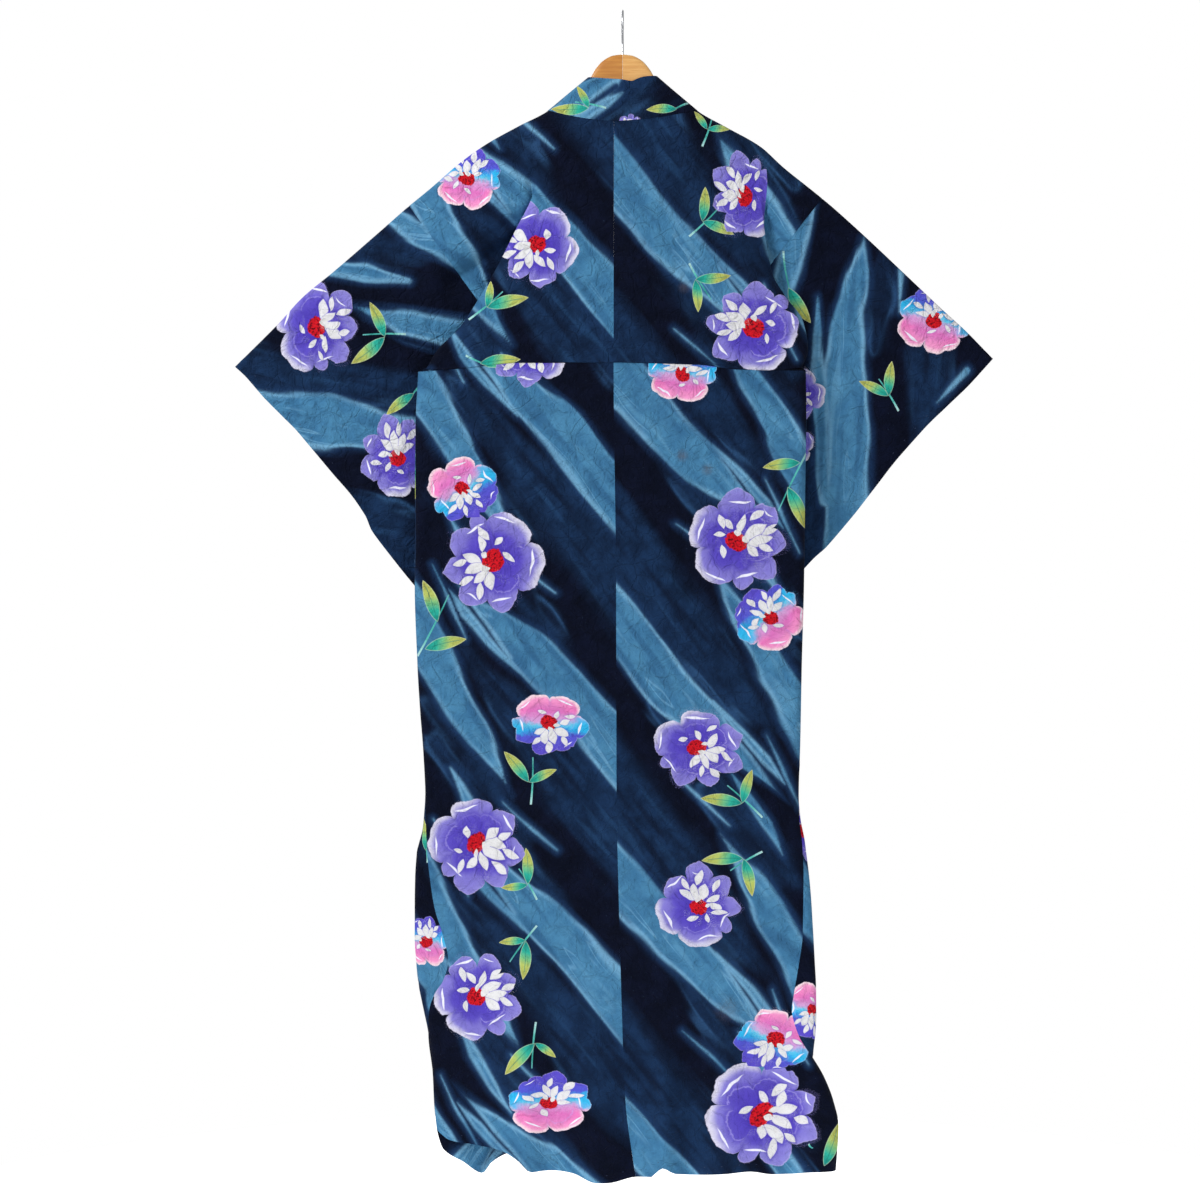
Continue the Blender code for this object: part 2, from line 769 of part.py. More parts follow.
def front_row(side, drop, seam, edge, line):
    """A front's row: flat across, round the side edge and back to the side seam."""
    sign = SIDES[side]
    peek = edge - seam
    flat_width = edge - SIDE_ROUND - OKUMI_SEAM_REACH
    angle = math.pi / 2 + np.arccos(np.clip(1 - peek / SIDE_ROUND, 0, 1))
    total = flat_width + SIDE_ROUND * angle + np.maximum(peek - SIDE_ROUND, 0)
    along = line * total
    turn = np.clip((along - flat_width) / SIDE_ROUND, 0, angle)
    past = np.maximum(along - flat_width - SIDE_ROUND * angle, 0)
    reach = OKUMI_SEAM_REACH + np.minimum(along, flat_width) + SIDE_ROUND * np.sin(turn) - past
    base = middle_depth(sign * reach, drop)
    before = (front_depth(sign * reach, drop, sign) - base) * np.cos(turn)
    after = (back_depth(sign * reach, drop) - base) * -np.cos(turn)
    return reach, base + np.where(turn < math.pi / 2, before, after)


def body_half(side, is_back, cloth):
    rows = [upper_section(side, share, is_back) for share in UPPER_ROWS]
    columns = len(rows[0][0])
    lower = lower_rows(side, is_back, columns)
    x, y, drop = lower[0]
    step = TUCK_STEP * ease((np.abs(x[-1]) - np.abs(x)) / TUCK_SIDE_FADE) if is_back else 0
    rows[-1] = (x, y + step, drop)
    lower[0] = (x, y, drop + TUCK_FALL)
    rows += lower
    grid = np.stack([to_world(*row) for row in rows])
    name = f"{'back' if is_back else 'front'}_{side}"
    below = len(UPPER_ROWS)
    grid = trimmed(grid, ["top", "first", "last"])
    grid[below:] = trimmed(grid[below:], ["last"], SEAM_GAP)
    ends = np.full((len(grid), 3), np.nan)
    edges = SIDE[side]
    drops = -grid[below:, -1, 2] / MM
    peek = curve(drops, edges["drop"], edges["edge"] - edges["seam"])
    turn = math.pi / 2 + np.arccos(np.clip(1 - peek / SIDE_ROUND, 0, 1))
    ends[below:] = np.stack([SIDES[side] * np.sin(turn), -np.cos(turn), 0 * turn], axis=1)
    return wall(name, grid, CLOTH, cloth, folded_top=True, last_normals=ends)


def sleeve_point(side, across, down):
    """Reach and drop of a point of the flat sleeve, by its shares of the width and of the depth."""
    reaches, drops = SLEEVE_CORNERS[side].values()
    top_reach, top_drop = mix(reaches[0], reaches[1], across), mix(drops[0], drops[1], across)
    reach = mix(top_reach, mix(reaches[3], reaches[2], across), down)
    drop = mix(top_drop, mix(drops[3], drops[2], across), down)
    drop = drop + (shoulder_drop(SIDES[side] * top_reach) - top_drop) * (1 - down) ** SAG_POWER
    edge = np.array([reaches[2] - reaches[1], drops[2] - drops[1]])
    edge /= np.linalg.norm(edge)
    out = curve(down, CUFF_BOW[side]["share"], CUFF_BOW[side]["out"]) * across**3
    return reach + edge[1] * out, drop - edge[0] * out


def seam_depth(side, is_back):
    """Y of the body's edge along the sleeve seam, with its distance below the fold."""
    shares = np.linspace(0, PLEAT_ARMHOLE_SHARE, SEAM_SAMPLES)
    ends = [[column[-1] for column in upper_section(side, share, is_back)] for share in shares]
    x, y, drop = np.array(ends).T
    steps = np.hypot(np.diff(x), np.diff(drop))
    return np.concatenate([[0], np.cumsum(steps)]), y


def sleeve_layer(side, is_back, cloth):
    sign = SIDES[side]
    across, down = np.meshgrid(SLEEVE_COLUMNS, SLEEVE_ROWS)
    reach, drop = sleeve_point(side, across, down)
    below = down * SLEEVE_DEPTH
    centre = -SHOULDER_BOW - SLEEVE_DIVE * ease(below / SLEEVE_DIVE_DEPTH)
    puff_across = np.sin(math.pi * np.clip(across, PUFF_EDGE_ACROSS, 1 - PUFF_EDGE_ACROSS))
    puff_down = np.sin(math.pi * np.clip(down, PUFF_EDGE_DOWN, 1 - PUFF_EDGE_DOWN))
    bulge = puff_across * puff_down * SLEEVE_PUFF / 2
    closed_cuff = ease((across - CUFF_CLOSE_SHARE) / (1 - CUFF_CLOSE_SHARE))
    closed_cuff = closed_cuff * ease((below - CUFF_OPENING) / CUFF_CLOSE_DEPTH)
    closed_foot = ease((down - FOOT_CLOSE_SHARE) / (1 - FOOT_CLOSE_SHARE))
    shut = np.maximum(closed_cuff, closed_foot)
    open_half = mix(SLEEVE_HALF_DEPTH + bulge, (CLOTH + SEAM_GAP) / 2, shut)
    half = open_half * quarter(below / OUTER_HOLLOW)
    own = centre + (half if is_back else -half)
    lengths, depths = seam_depth(side, is_back)
    at_seam = np.interp(below, lengths, depths)
    past_seam = ease((below - SEAM_RELEASE) / RELEASE_LENGTH)
    free = np.maximum(ease(across * SLEEVE_WIDTH / SEAM_BLEND), past_seam)
    grid = to_world(sign * reach, mix(at_seam, own, free), drop)
    grid = trimmed(grid, ["top", "first"])
    released = int(np.searchsorted(SLEEVE_ROWS * SLEEVE_DEPTH, SEAM_RELEASE))
    grid[released:] = trimmed(grid[released:], ["first"], ARMHOLE_END_GAP)
    return wall(f"sleeve_{side}_{'back' if is_back else 'front'}", grid, CLOTH, cloth, folded_top=True)


def collar_half(side):
    """The rows of the collar from the middle of the back, over the shoulder, to its end."""
    sign = SIDES[side]
    rows = []
    inner = inner_edge(side, 0.0, True)[0]
    for t in COLLAR_BACK_ROWS:
        seam_reach = mix(inner, NECK_REACH, t)
        seam_drop = float(neck_drop(seam_reach, sign))
        free_x = mix(COLLAR_MIDDLE_X, sign * COLLAR_SHOULDER_REACH, t)
        free_drop = float(curve(free_x, COLLAR_TOP["x"], COLLAR_TOP["drop"]))
        x = mix(sign * seam_reach, free_x, COLLAR_COLUMNS)
        drop = mix(seam_drop, free_drop, COLLAR_COLUMNS)
        seam_y = float(back_depth(sign * seam_reach, seam_drop))
        behind = HOLLOW * quarter((1 - t) * COLLAR_SHOULDER_REACH / HOLLOW)
        free_y = float(middle_depth(free_x, drop[-1]) + behind)
        rows.append((x, mix(seam_y, free_y, COLLAR_COLUMNS), drop))
    for drop_at in COLLAR_FRONT_DROPS:
        turned = float(ease((drop_at - COLLAR_TOP_JOIN) / COLLAR_TURN_DEPTH))
        free_drop = mix(COLLAR_SHOULDER_DROP, drop_at - COLLAR_FREE_LIFT, turned)
        seam_reach = float(curve(drop_at, COLLAR_FRONT["drop"], COLLAR_FRONT["seam"]))
        free_reach = float(curve(free_drop, COLLAR_FRONT["drop"], COLLAR_FRONT["free"]))
        reach = mix(seam_reach, free_reach, COLLAR_COLUMNS)
        drop = mix(drop_at, free_drop, COLLAR_COLUMNS)
        seam_y = front_depth(sign * seam_reach, drop_at, sign)
        away = quarter((drop_at - COLLAR_TOP_JOIN) / HOLLOW)
        free_front = front_depth(sign * free_reach, free_drop + COLLAR_FREE_LEAD, sign)
        free_y = mix(middle_depth(free_reach, free_drop), free_front, away)
        y = mix(seam_y, free_y, COLLAR_COLUMNS)
        rows.append((sign * reach, y, drop))
    return [to_world(*row) for row in rows]


def make_collar(cloth):
    left, right = collar_half("left"), collar_half("right")
    grid = np.stack(left[::-1] + right[1:])
    grid = trimmed(grid, ["first"], SEAM_GAP * 2)
    return wall("collar", grid, COLLAR_CLOTH, cloth)


def make_okumi(side, cloth):
    sign = SIDES[side]
    rows = []
    for drop in OKUMI_DROPS:
        if drop <= COLLAR_END_DROP:
            free = float(curve(drop, COLLAR_FRONT["drop"], COLLAR_FRONT["seam"]))
        else:
            free = float(curve(drop, OKUMI_EDGE["drop"], OKUMI_EDGE["free"]))
        reach = mix(OKUMI_SEAM_REACH, free, OKUMI_COLUMNS)
        last = curve(reach, FRONT_HEM["reach"], FRONT_HEM[side])
        level = mix(drop, last, ease((drop - OKUMI_HEM_DROP) / OKUMI_HEM_DEPTH))
        rows.append(to_world(sign * reach, front_depth(sign * reach, level, sign), level))
    grid = trimmed(np.stack(rows), ["first"])
    grid = trimmed(grid, ["last"], SEAM_GAP)
    return wall(f"okumi_{side}", grid, CLOTH, cloth)


def make_arm(side, wood):
    """One arm of the hanger, from the joint in the middle to its rounded end."""
    sign = SIDES[side]
    points = []
    for reach in HANGER_REACHES:
        top = float(curve(reach, HANGER["reach"], HANGER["top"]))
        bottom = float(curve(reach, HANGER["reach"], HANGER["bottom"]))
        if reach > HANGER_REACHES[0]:
            lift = float(shoulder_drop(sign * reach) - shoulder_drop(reach))
            top, bottom = top + lift, bottom + lift
        half_height, half_thick = (bottom - top) / 2, HANGER_THICK / 2
        if reach > ARM_ROUND_REACH:
            past = (reach - ARM_ROUND_REACH) / ARM_ROUND_LENGTH
            half_thick *= math.sqrt(max(1 - past**2, ARM_LEAST_ROUND))
        middle = float(middle_depth(reach, 0.0))
        for k in range(HANGER_RING):
            angle = 2 * math.pi * (k + 0.5) / HANGER_RING
            cosine, sine = math.cos(angle), math.sin(angle)
            y = middle + half_thick * math.copysign(abs(cosine) ** ARM_CORNER, cosine)
            z = -(top + bottom) / 2 + half_height * math.copysign(abs(sine) ** ARM_CORNER, sine)
            points.append((sign * reach * MM, y * MM, z * MM))
    return ringed(f"hanger_arm_{side}", points, HANGER_RING, wood)


def ringed(name, points, ring, surface):
    """A closed body through rings of points, with flat ends."""
    count = len(points) // ring
    faces = [tuple(range(ring))[::-1], tuple((count - 1) * ring + k for k in range(ring))]
    for r in range(count - 1):
        for k in range(ring):
            a, b = r * ring + k, r * ring + (k + 1) % ring
            faces.append((a, b, b + ring, a + ring))
    return solid(name, points, faces, surface)


def make_hook(steel):
    radius = HOOK_INNER_RADIUS + HOOK_WIRE / 2
    path = [(y, -drop) for y, drop in zip(HOOK_PATH["y"], HOOK_PATH["drop"])]
    for angle in range(HOOK_FIRST_DEGREE, HOOK_LAST_DEGREE, -HOOK_STEP):
        turn = math.radians(angle)
        path.append((radius * math.cos(turn), -HOOK_INNER_RADIUS + radius * math.sin(turn)))
    path = np.array(path)
    along = np.gradient(path, axis=0)
    along /= np.linalg.norm(along, axis=1, keepdims=True)
    wire = HOOK_WIRE / 2
    points = []
    for (y, z), (dy, dz) in zip(path, along):
        for k in range(HOOK_RING):
            angle = 2 * math.pi * k / HOOK_RING
            side, out = wire * math.cos(angle), wire * math.sin(angle)
            points.append((side * MM, (y - dz * out) * MM, (z + dy * out) * MM))
    return ringed("hook", points, HOOK_RING, steel)


def main():
    clear_scene()
    cloth = material("cotton", (0.03, 0.06, 0.12), 0.85)
    wood = material("wood", (0.45, 0.25, 0.08), 0.4)
    steel = material("steel", (0.6, 0.6, 0.6), 0.25, 1.0)
    for side in SIDES:
        body_half(side, True, cloth)
        body_half(side, False, cloth)
        sleeve_layer(side, True, cloth)
        sleeve_layer(side, False, cloth)
        make_okumi(side, cloth)
        make_arm(side, wood)
    make_collar(cloth)
    make_hook(steel)


main()
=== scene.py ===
"""The look of the kimono on its hanger: printed cotton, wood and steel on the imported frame.

Lengths are in millimetres, as in the part: a drop is a depth below the hook, and a reach is
a distance from X = 0. The print and the creases are charted in pixels of the 1200 x 1200 view,
at PIXEL millimetres each.
"""

import math

import bmesh
import bpy
import numpy as np
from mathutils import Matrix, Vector

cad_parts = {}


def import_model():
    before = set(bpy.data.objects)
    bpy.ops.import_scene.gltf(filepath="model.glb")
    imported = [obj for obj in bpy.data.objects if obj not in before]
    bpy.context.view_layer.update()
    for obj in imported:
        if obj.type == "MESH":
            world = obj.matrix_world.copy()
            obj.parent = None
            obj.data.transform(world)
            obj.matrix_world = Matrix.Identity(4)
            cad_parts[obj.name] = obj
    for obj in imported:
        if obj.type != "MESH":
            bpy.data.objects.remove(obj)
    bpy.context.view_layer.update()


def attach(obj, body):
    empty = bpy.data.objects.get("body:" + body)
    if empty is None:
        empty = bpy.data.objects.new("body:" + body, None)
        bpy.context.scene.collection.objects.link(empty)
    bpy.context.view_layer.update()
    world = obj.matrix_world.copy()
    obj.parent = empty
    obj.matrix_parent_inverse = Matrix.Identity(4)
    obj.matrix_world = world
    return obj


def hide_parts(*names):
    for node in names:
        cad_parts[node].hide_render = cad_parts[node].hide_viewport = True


MM = 0.001

# Cloth and seams
THIN = 0.7
COLLAR_THIN = 2.0
VISUAL_GAP = 0.03
LAYER_PITCH = 3.0

# The depth of the hung body
HOLLOW = 10.0
OUTER_HOLLOW = 5.0
HOLLOW_END_REACH = 215.0
OUTER_HOLLOW_REACH = 310.0
HOLLOW_RETURN_DROP = 460.0
HOLLOW_RETURN_DEPTH = 160.0
SHOULDER_BOW = 15.0
BOW_REACH = 220.0
BOW_FADE_TOP = 200.0
BOW_FADE_DEPTH = 350.0
SIDE_ROUND = 10.0
LEAST_PEEK = 0.01
BACK_HEM_DROP = 1690.0
FRONT_HEM_DROP = 1650.0
FOLD_GROWTH = 1.3

# The neck of the back and its seam with the collar
NECK_REACH = 108.0
NECK_SAG = 12.0

# The pleat below each end of the hanger, in layers of cloth behind the back's own
UNDER_LAYERS = 2.0
BACK_STRIP_LAYERS = 3.0
FRONT_STRIP_LAYERS = 4.4
PLEAT_OPENS = -6.0
PLEAT_WHOLE = 12.0
PLEAT_RATE = 2.5
STRIP_RATE = 1.2
STRIP_SHARE_RATE = 1.4
TOP_ROUND_RATE = 12.0
FRONT_DIVE_START = 17.0
FRONT_DIVE_END = 6.0
FRONT_LEAST_FLAT = 20.0
SAG_POWER = 3

# The cut of the sleeve, and its seam with the body
SLEEVE_DEPTH = 490.0
SLEEVE_WIDTH = 345.0
SLEEVE_PUFF = 7.6
SLEEVE_DIVE = 20.5
SLEEVE_DIVE_DEPTH = 250.0
SLEEVE_HALF_DEPTH = 4.5
CUFF_OPENING = 230.0
CUFF_CLOSE_DEPTH = 60.0
CUFF_CLOSE_SHARE = 0.8
FOOT_CLOSE_SHARE = 0.86
PUFF_EDGE_ACROSS = 0.02
PUFF_EDGE_DOWN = 0.05
PLEAT_ARMHOLE_SHARE = 0.75
SEAM_SAMPLES = 25
SEAM_RELEASE = 175.0
RELEASE_LENGTH = 35.0
SEAM_BLEND = 60.0
ARMHOLE_END_GAP = 1.5

# The waist tuck across the back
TUCK_STEP = 1.8
TUCK_FALL = 0.9
TUCK_SIDE_FADE = 20.0

# The fronts, which overlap under the sleeves
FRONT_LAYER = {1: -11.0, -1: -4.0}
FRONT_OVERLAP_START = 60.0
FRONT_OVERLAP_REACH = 170.0
FRONT_LAYER_TOP = 150.0
FRONT_LAYER_DEPTH = 120.0
OKUMI_SEAM_REACH = 58.0
OKUMI_HEM_DROP = 1500.0
OKUMI_HEM_DEPTH = 150.0

# The collar, which runs over each shoulder and down the edge of each front
COLLAR_MIDDLE_X = 1.5
COLLAR_SHOULDER_REACH = 50.0
COLLAR_SHOULDER_DROP = 95.5
COLLAR_TOP_JOIN = 144.0
COLLAR_FREE_LIFT = 4.0
COLLAR_TURN_DEPTH = 120.0
COLLAR_FREE_LEAD = 20.0
COLLAR_END_DROP = 905.0

# The hanger and its hook
HANGER_THICK = 13.0
ARM_ROUND_REACH = 200.0
ARM_ROUND_LENGTH = 24.0
ARM_LEAST_ROUND = 0.15
ARM_CORNER = 0.7
LIFT_START = 45.0
LIFT_LENGTH = 10.0
HOOK_WIRE = 3.5
HOOK_INNER_RADIUS = 16.0
HOOK_FIRST_DEGREE = 235
HOOK_LAST_DEGREE = -41
HOOK_STEP = 5

# The steps of each surface: counts, shares of a length, and lengths
TURN_STEPS = 8
UNDER_STEPS = 8
DIVE_STEPS = 14
CENTRE_STEPS = 40
CENTRE_SHARE = 0.8
OUTER_CROWDING = 1.8
STRIP_STEPS = 26
OUTER_STEPS = 12
NECK_COLUMNS = np.linspace(0, 1, 42)
UPPER_ROWS = np.concatenate([[0, 0.0012, 0.004, 0.009, 0.016, 0.025], np.linspace(0.035, 1, 86)])
LOWER_ROWS = np.concatenate([np.linspace(0, 0.5, 84)[:-1], np.linspace(0.5, 1, 120)])
SLEEVE_ROWS = np.concatenate([[0, 0.0015, 0.004, 0.008, 0.014], np.linspace(0.022, 1, 112)])
SLEEVE_COLUMNS = np.linspace(0, 1, 96)
COLLAR_COLUMNS = np.linspace(0, 1, 14)
COLLAR_BACK_ROWS = np.concatenate([np.linspace(0, 0.85, 40), np.linspace(0.86, 1, 24)])
COLLAR_FRONT_DROPS = np.concatenate([np.linspace(144.6, 170, 22), np.linspace(173, 905, 110)])
OKUMI_DROPS = np.concatenate([np.linspace(448, 1150, 90), np.linspace(1156, 1650, 90)])
OKUMI_COLUMNS = np.linspace(0, 1, 26)
HANGER_REACHES = np.concatenate(
    [[0.12, 4, 9], np.linspace(14, 60, 24), np.linspace(66, 200, 34), np.linspace(203, 221, 14)]
)
HANGER_RING = 40
HOOK_RING = 20
SHARP_DEGREES = 50

# How the sleeve's layers lap past the body's edge at the seam
LAP_FADE = 15.0
LAP_REACH = 0.6
LAP_DEPTH = 0.35

# Where creases and unevenness fade out: counts of rows and columns, and shares of a width
EDGE_COLUMNS = 5
TOP_EDGE_ROWS = 8
LAST_EDGE_COLUMNS = 6
PLEAT_FLAT_COLUMNS = 6
PLEAT_CREASE_SHARE = 0.3
FRONT_TOP_CREASE_SHARE = 0.4
SHUT_FLATTENS = 0.7
CUFF_FLATTENS = 0.6
SLEEVE_TOP_SHARE = 0.03
SLEEVE_EDGE_SHARE = 0.06
COLLAR_EDGE_RATE = 6
OKUMI_EDGE_RATE = 8

# Creases: the relief in millimetres, the wander of each line as pixels and waves, its fading ends,
# its uneven height, its spread from end to end, and the trough beside each ridge
CREASE_DEPTH = 2.2
CREASE_WANDER = [(2.2, 5), (1.1, 13)]
CREASE_FADE = 0.25
CREASE_UNEVEN = 0.3
CREASE_WAVES = 7
CREASE_SPREAD = (0.8, 1.2)
TROUGH_SHARE = 0.35
TROUGH_AWAY = 1.6
PLAIN_CREASE_WIDTH = 3.2

# The dents of the stitched lines: how far in from the edge, how deep and how wide
DENTS = {
    "middle": (0, 0.35, 2.2), "hem": (13, 0.3, 2.0), "cuff": (12, 0.25, 2.0), "armhole": (2.5, 0.3, 2.0),
}
DENT_FADE = 20
MIDDLE_EDGE = 0.3

# Soft unevenness: its size, the seed of its draw and the pitch of its swells in pixels. The first
# four are heights of the cloth in millimetres. The others move the print.
UNEVEN = {
    "back": (0.25, 31, 70), "front": (0.3, 41, 80), "sleeve": (0.35, 51, 80), "collar": (0.25, 61, 50),
    "across": (1.5, 3, 90), "down": (3.5, 8, 120), "own bands": (1, 5, 60), "bands": (1, 3, 90),
}
SWELL_WAVES = 7

# The stitches along the hems and the cuffs: lengths, shares of the pitch, and the rings of each
# stitch as shares of its length with their swell
HEM_PITCH = 26
CUFF_PITCH = 24
STITCH_INSET = 11
STITCH_LENGTH = 2.6
STITCH_WANDER = 0.25
STITCH_WAVES = 1.7
STITCH_RADIUS = 0.3
STITCH_FLATNESS = 0.6
STITCH_RISE = 0.08
STITCH_SIDES = 6
STITCH_RINGS = [(0, 0.35), (0.25, 1), (0.75, 1), (1, 0.35)]
FIRST_STITCH = 0.6
LAST_STITCH = 0.3
HEM_STITCH_ROWS = 4
HEM_STITCH_COLUMN = 20
CUFF_FIRST_ROW = 6

# The view: its width, a pixel's size, and the pixel at X = VIEW_X and at the hook
VIEW_SIZE = 1200
PIXEL = 1.45
VIEW_COLUMN = 615.0
VIEW_X = 10.9
VIEW_ROW = 12.4

# The studio, in metres: the floor, the surround, the lights with place, power and span, the camera
WHITE = (1, 1, 1, 1)
FLOOR_RADIUS = 1.25
FLOOR_LEVEL = -1.8
FLOOR_SIDES = 96
FLOOR_LOOK = {
    "Base Color": (0.93, 0.93, 0.93, 1), "Roughness": 0.9, "Emission Color": WHITE, "Emission Strength": 0.7,
}
SURROUND_LIGHT = 0.62
LIGHT_AIM = (0, 0, -0.9)
LIGHTS = [
    ("key", (2.4, 1.9, 1.0), 110, 1.0),
    ("fill", (-1.6, 3.4, -0.6), 42, 2.0),
    ("front fill", (0.7, -3.2, 0.3), 40, 2.0),
]
CAMERA_DISTANCE = 4.5
SENSOR_WIDTH = 36
FAR_CLIP = 50

# The colours of each arm's wood: its pale and its dark grain. Both arms are the same wood: the left arm's
# darker colours are painted shade, since it turns away from the light, and the right arm's lighter colours
# are painted light
LIT_AND_SHADED_WOOD_COLOURS = {"left": ((192, 134, 58), (160, 100, 34)), "right": ((212, 166, 100), (188, 134, 70))}

# The methods of Value and the math nodes that they add
MATH_NODES = {
    "__add__": "ADD", "__radd__": "ADD", "__sub__": "SUBTRACT", "__rsub__": "SUBTRACT",
    "__mul__": "MULTIPLY", "__rmul__": "MULTIPLY", "__truediv__": "DIVIDE", "least": "MINIMUM",
    "most": "MAXIMUM", "power": "POWER", "size": "ABSOLUTE", "root": "SQRT", "floor": "FLOOR",
    "part": "FRACT", "cosine": "COSINE", "sine": "SINE", "exponent": "EXPONENT",
    "angle_to": "ARCTAN2", "over": "GREATER_THAN",
}

# The print: the longest name of a chart, the leaves and stems in pixels, and a place far from all
CHART_NAME = "U20"
LEAF_SHARE = 0.155
LEAST_LEAF = 6
LEAST_LEAF_HALF = 0.1
STEM_HALF = 1.25
FAR = 9.0

SIDES = {"left": 1, "right": -1}


def table(columns, rows):
    """A dict of named columns, each an array, from rows of numbers."""
    return dict(zip(columns.split(), np.array(rows, float).T))


# The shoulder line, which is the fold over the hanger and then the fold of each sleeve
SHOULDER = table(
    "reach left right",
    [
        (50, 95.5, 93.7), (80, 120, 117), (110, 144, 143.5), (150, 164, 165.5), (200, 191, 193),
        (235, 215.5, 224), (280, 254.6, 260), (310, 279.3, 285), (350, 314, 321), (420, 374.7, 387),
        (465, 412, 429.6), (500, 450, 461.7), (540, 490, 502.5), (565, 514.5, 526),
    ],
)

# The pleat that each half of the body makes below the hanger's end, one row for each
# section from the shoulder line to the tuck. It turns in at the fold, runs under to the
# hidden fold and comes out to the sleeve seam. Sink is how far the outer strip has gone
# from the back's layer to its own.
PLEAT = {
    "left": table(
        "fold fold_drop hidden hidden_drop seam seam_drop sink",
        [
            (132, 156.5, 160, 169, 310.3, 279.3, 0), (124, 197, 150, 212, 283.8, 315.6, 0.05),
            (124, 244, 133, 268, 257.2, 351.9, 0.4), (152, 307, 138, 318, 236.5, 380.2, 0.8),
            (184, 371, 160, 378, 215.9, 408.4, 1), (209, 414, 172, 422, 195.2, 436.7, 1),
            (237, 457, 158, 458, 174.6, 465, 1), (270, 491, 232, 494, 246, 500, 1),
            (286, 520, 290, 521, 296, 521.4, 0),
        ],
    ),
    "right": table(
        "fold fold_drop hidden hidden_drop seam seam_drop sink",
        [
            (186, 184, 214, 206, 290, 268, 0), (195, 232, 216, 247, 266.5, 298.3, 0.05),
            (202, 285, 208, 292, 242.9, 328.5, 0.4), (210, 339, 198, 345, 219.4, 358.8, 0.8),
            (218, 378, 182, 382, 195.8, 389, 1), (236, 410, 158, 414, 172.3, 419.3, 1),
            (262, 448, 134, 444, 148.7, 449.5, 1), (269, 488, 206, 486, 218, 490, 1),
            (258, 518.5, 261, 519, 265.4, 519.5, 0),
        ],
    ),
}

# The seam up the middle of the back
MIDDLE = table(
    "drop x",
    [
        (159, 12.5), (508, 13), (827, 9.4), (1122, 8.7), (1313, 4.9), (1432, 1.5), (1574, -3.9),
        (1690, -19),
    ],
)

# The side seam below the tuck, and the front's fold where it stands out past the seam
SIDE = {
    "left": table(
        "drop seam edge",
        [
            (521, 296, 296), (608, 300, 300), (700, 299.5, 300.5), (775, 298.7, 301), (830, 301, 301),
            (939, 297.3, 297.3), (1016, 292.9, 292.9), (1061, 289.3, 289.3), (1128, 285.7, 285.7),
            (1180, 284.2, 289), (1219, 282.8, 297.8), (1258, 278.4, 300.3), (1302, 271, 301),
            (1338, 259.6, 301), (1374, 252.3, 299), (1403, 259.6, 296.5), (1420, 271, 293.3),
            (1447, 279.9, 288), (1480, 281.3, 281.3), (1541, 274.6, 274.6), (1584, 272.6, 272.6),
            (1619, 269, 269),
        ],
    ),
    "right": table(
        "drop seam edge",
        [
            (519.5, 265.4, 265.4), (586, 266.2, 266.2), (642, 265.4, 265.4), (748, 263.9, 263.9),
            (827, 262.9, 262.9), (949, 259.6, 259.6), (1061, 257.4, 257.4), (1135, 255.2, 255.2),
            (1167, 255.8, 257.4), (1201, 259.5, 264), (1257, 261.9, 270.7), (1335, 260.7, 276.2),
            (1379, 255.2, 278.4), (1422, 248, 280.5), (1444, 245, 280.6), (1480, 254, 279.3),
            (1516, 276, 276), (1542, 291.3, 291.3), (1579, 305.7, 305.7), (1614, 312.9, 312.9),
            (1678, 309, 309),
        ],
    ),
}

# The line of the tuck, and the hem of the back, by X
TUCK = table(
    "x drop",
    [(-270, 519.5), (-170, 518), (-112, 511), (13, 508), (149, 508), (222, 515), (300, 521.4)],
)
HEM = table(
    "x drop",
    [
        (-310, 1678), (-279, 1678.5), (-243, 1683), (-219, 1684.3), (-183, 1679), (-147, 1681.4),
        (-107, 1684.5), (-78, 1682), (-60, 1672), (-50, 1679), (-42, 1686.6), (-19, 1688), (20, 1695),
        (40, 1694), (72, 1681.5), (110, 1678), (131, 1679), (150, 1662), (175, 1649), (213, 1641),
        (249, 1633.6), (269, 1619),
    ],
)

# The hem of each front, by reach
FRONT_HEM = table(
    "reach left right",
    [
        (-110, 1640, 1640), (60, 1650, 1655), (140, 1650, 1660), (164, 1656, 1660), (187, 1671, 1662),
        (200, 1687, 1662), (227, 1668, 1664), (254, 1649, 1668), (269, 1619, 1671), (310, 1600, 1678),
    ],
)

# The soft folds of the hanging cloth, each a swell across the panel that grows to the hem
BACK_FOLDS = table(
    "x width height top",
    [
        (-282, 24, 9, 1330), (-225, 30, -8, 1250), (-150, 26, 8, 1200), (-105, 20, -6, 1380),
        (-60, 15, 15, 1300), (-15, 22, -8, 1350), (40, 24, 9, 1300), (92, 22, -8, 1250),
        (142, 17, 11, 1330), (205, 30, -7, 1150),
    ],
)
FRONT_FOLDS = table(
    "x width height top",
    [
        (-230, 34, 7, 1000), (-150, 28, -8, 1050), (-70, 26, 6, 1150), (35, 24, -8, 1000),
        (120, 26, 7, 1100), (200, 22, -14, 1200), (255, 20, 8, 1300),
    ],
)

# The top edge of the collar behind the neck, and the collar's edges down each front
COLLAR_TOP = table(
    "x drop",
    [(-50, 93.7), (-36, 94), (-24, 96.5), (-13, 101), (1.5, 98.8), (20, 97.6), (50, 95.5)],
)
COLLAR_FRONT = table(
    "drop free seam",
    [
        (95, 50, 108), (145, 47, 108), (170, 45, 106), (250, 35, 97), (400, 2, 66), (550, -34, 31),
        (700, -64, 1), (850, -86, -20), (905, -91, -25),
    ],
)
OKUMI_EDGE = table("drop free", [(905, -91), (1200, -92), (1450, -88), (1650, -80)])

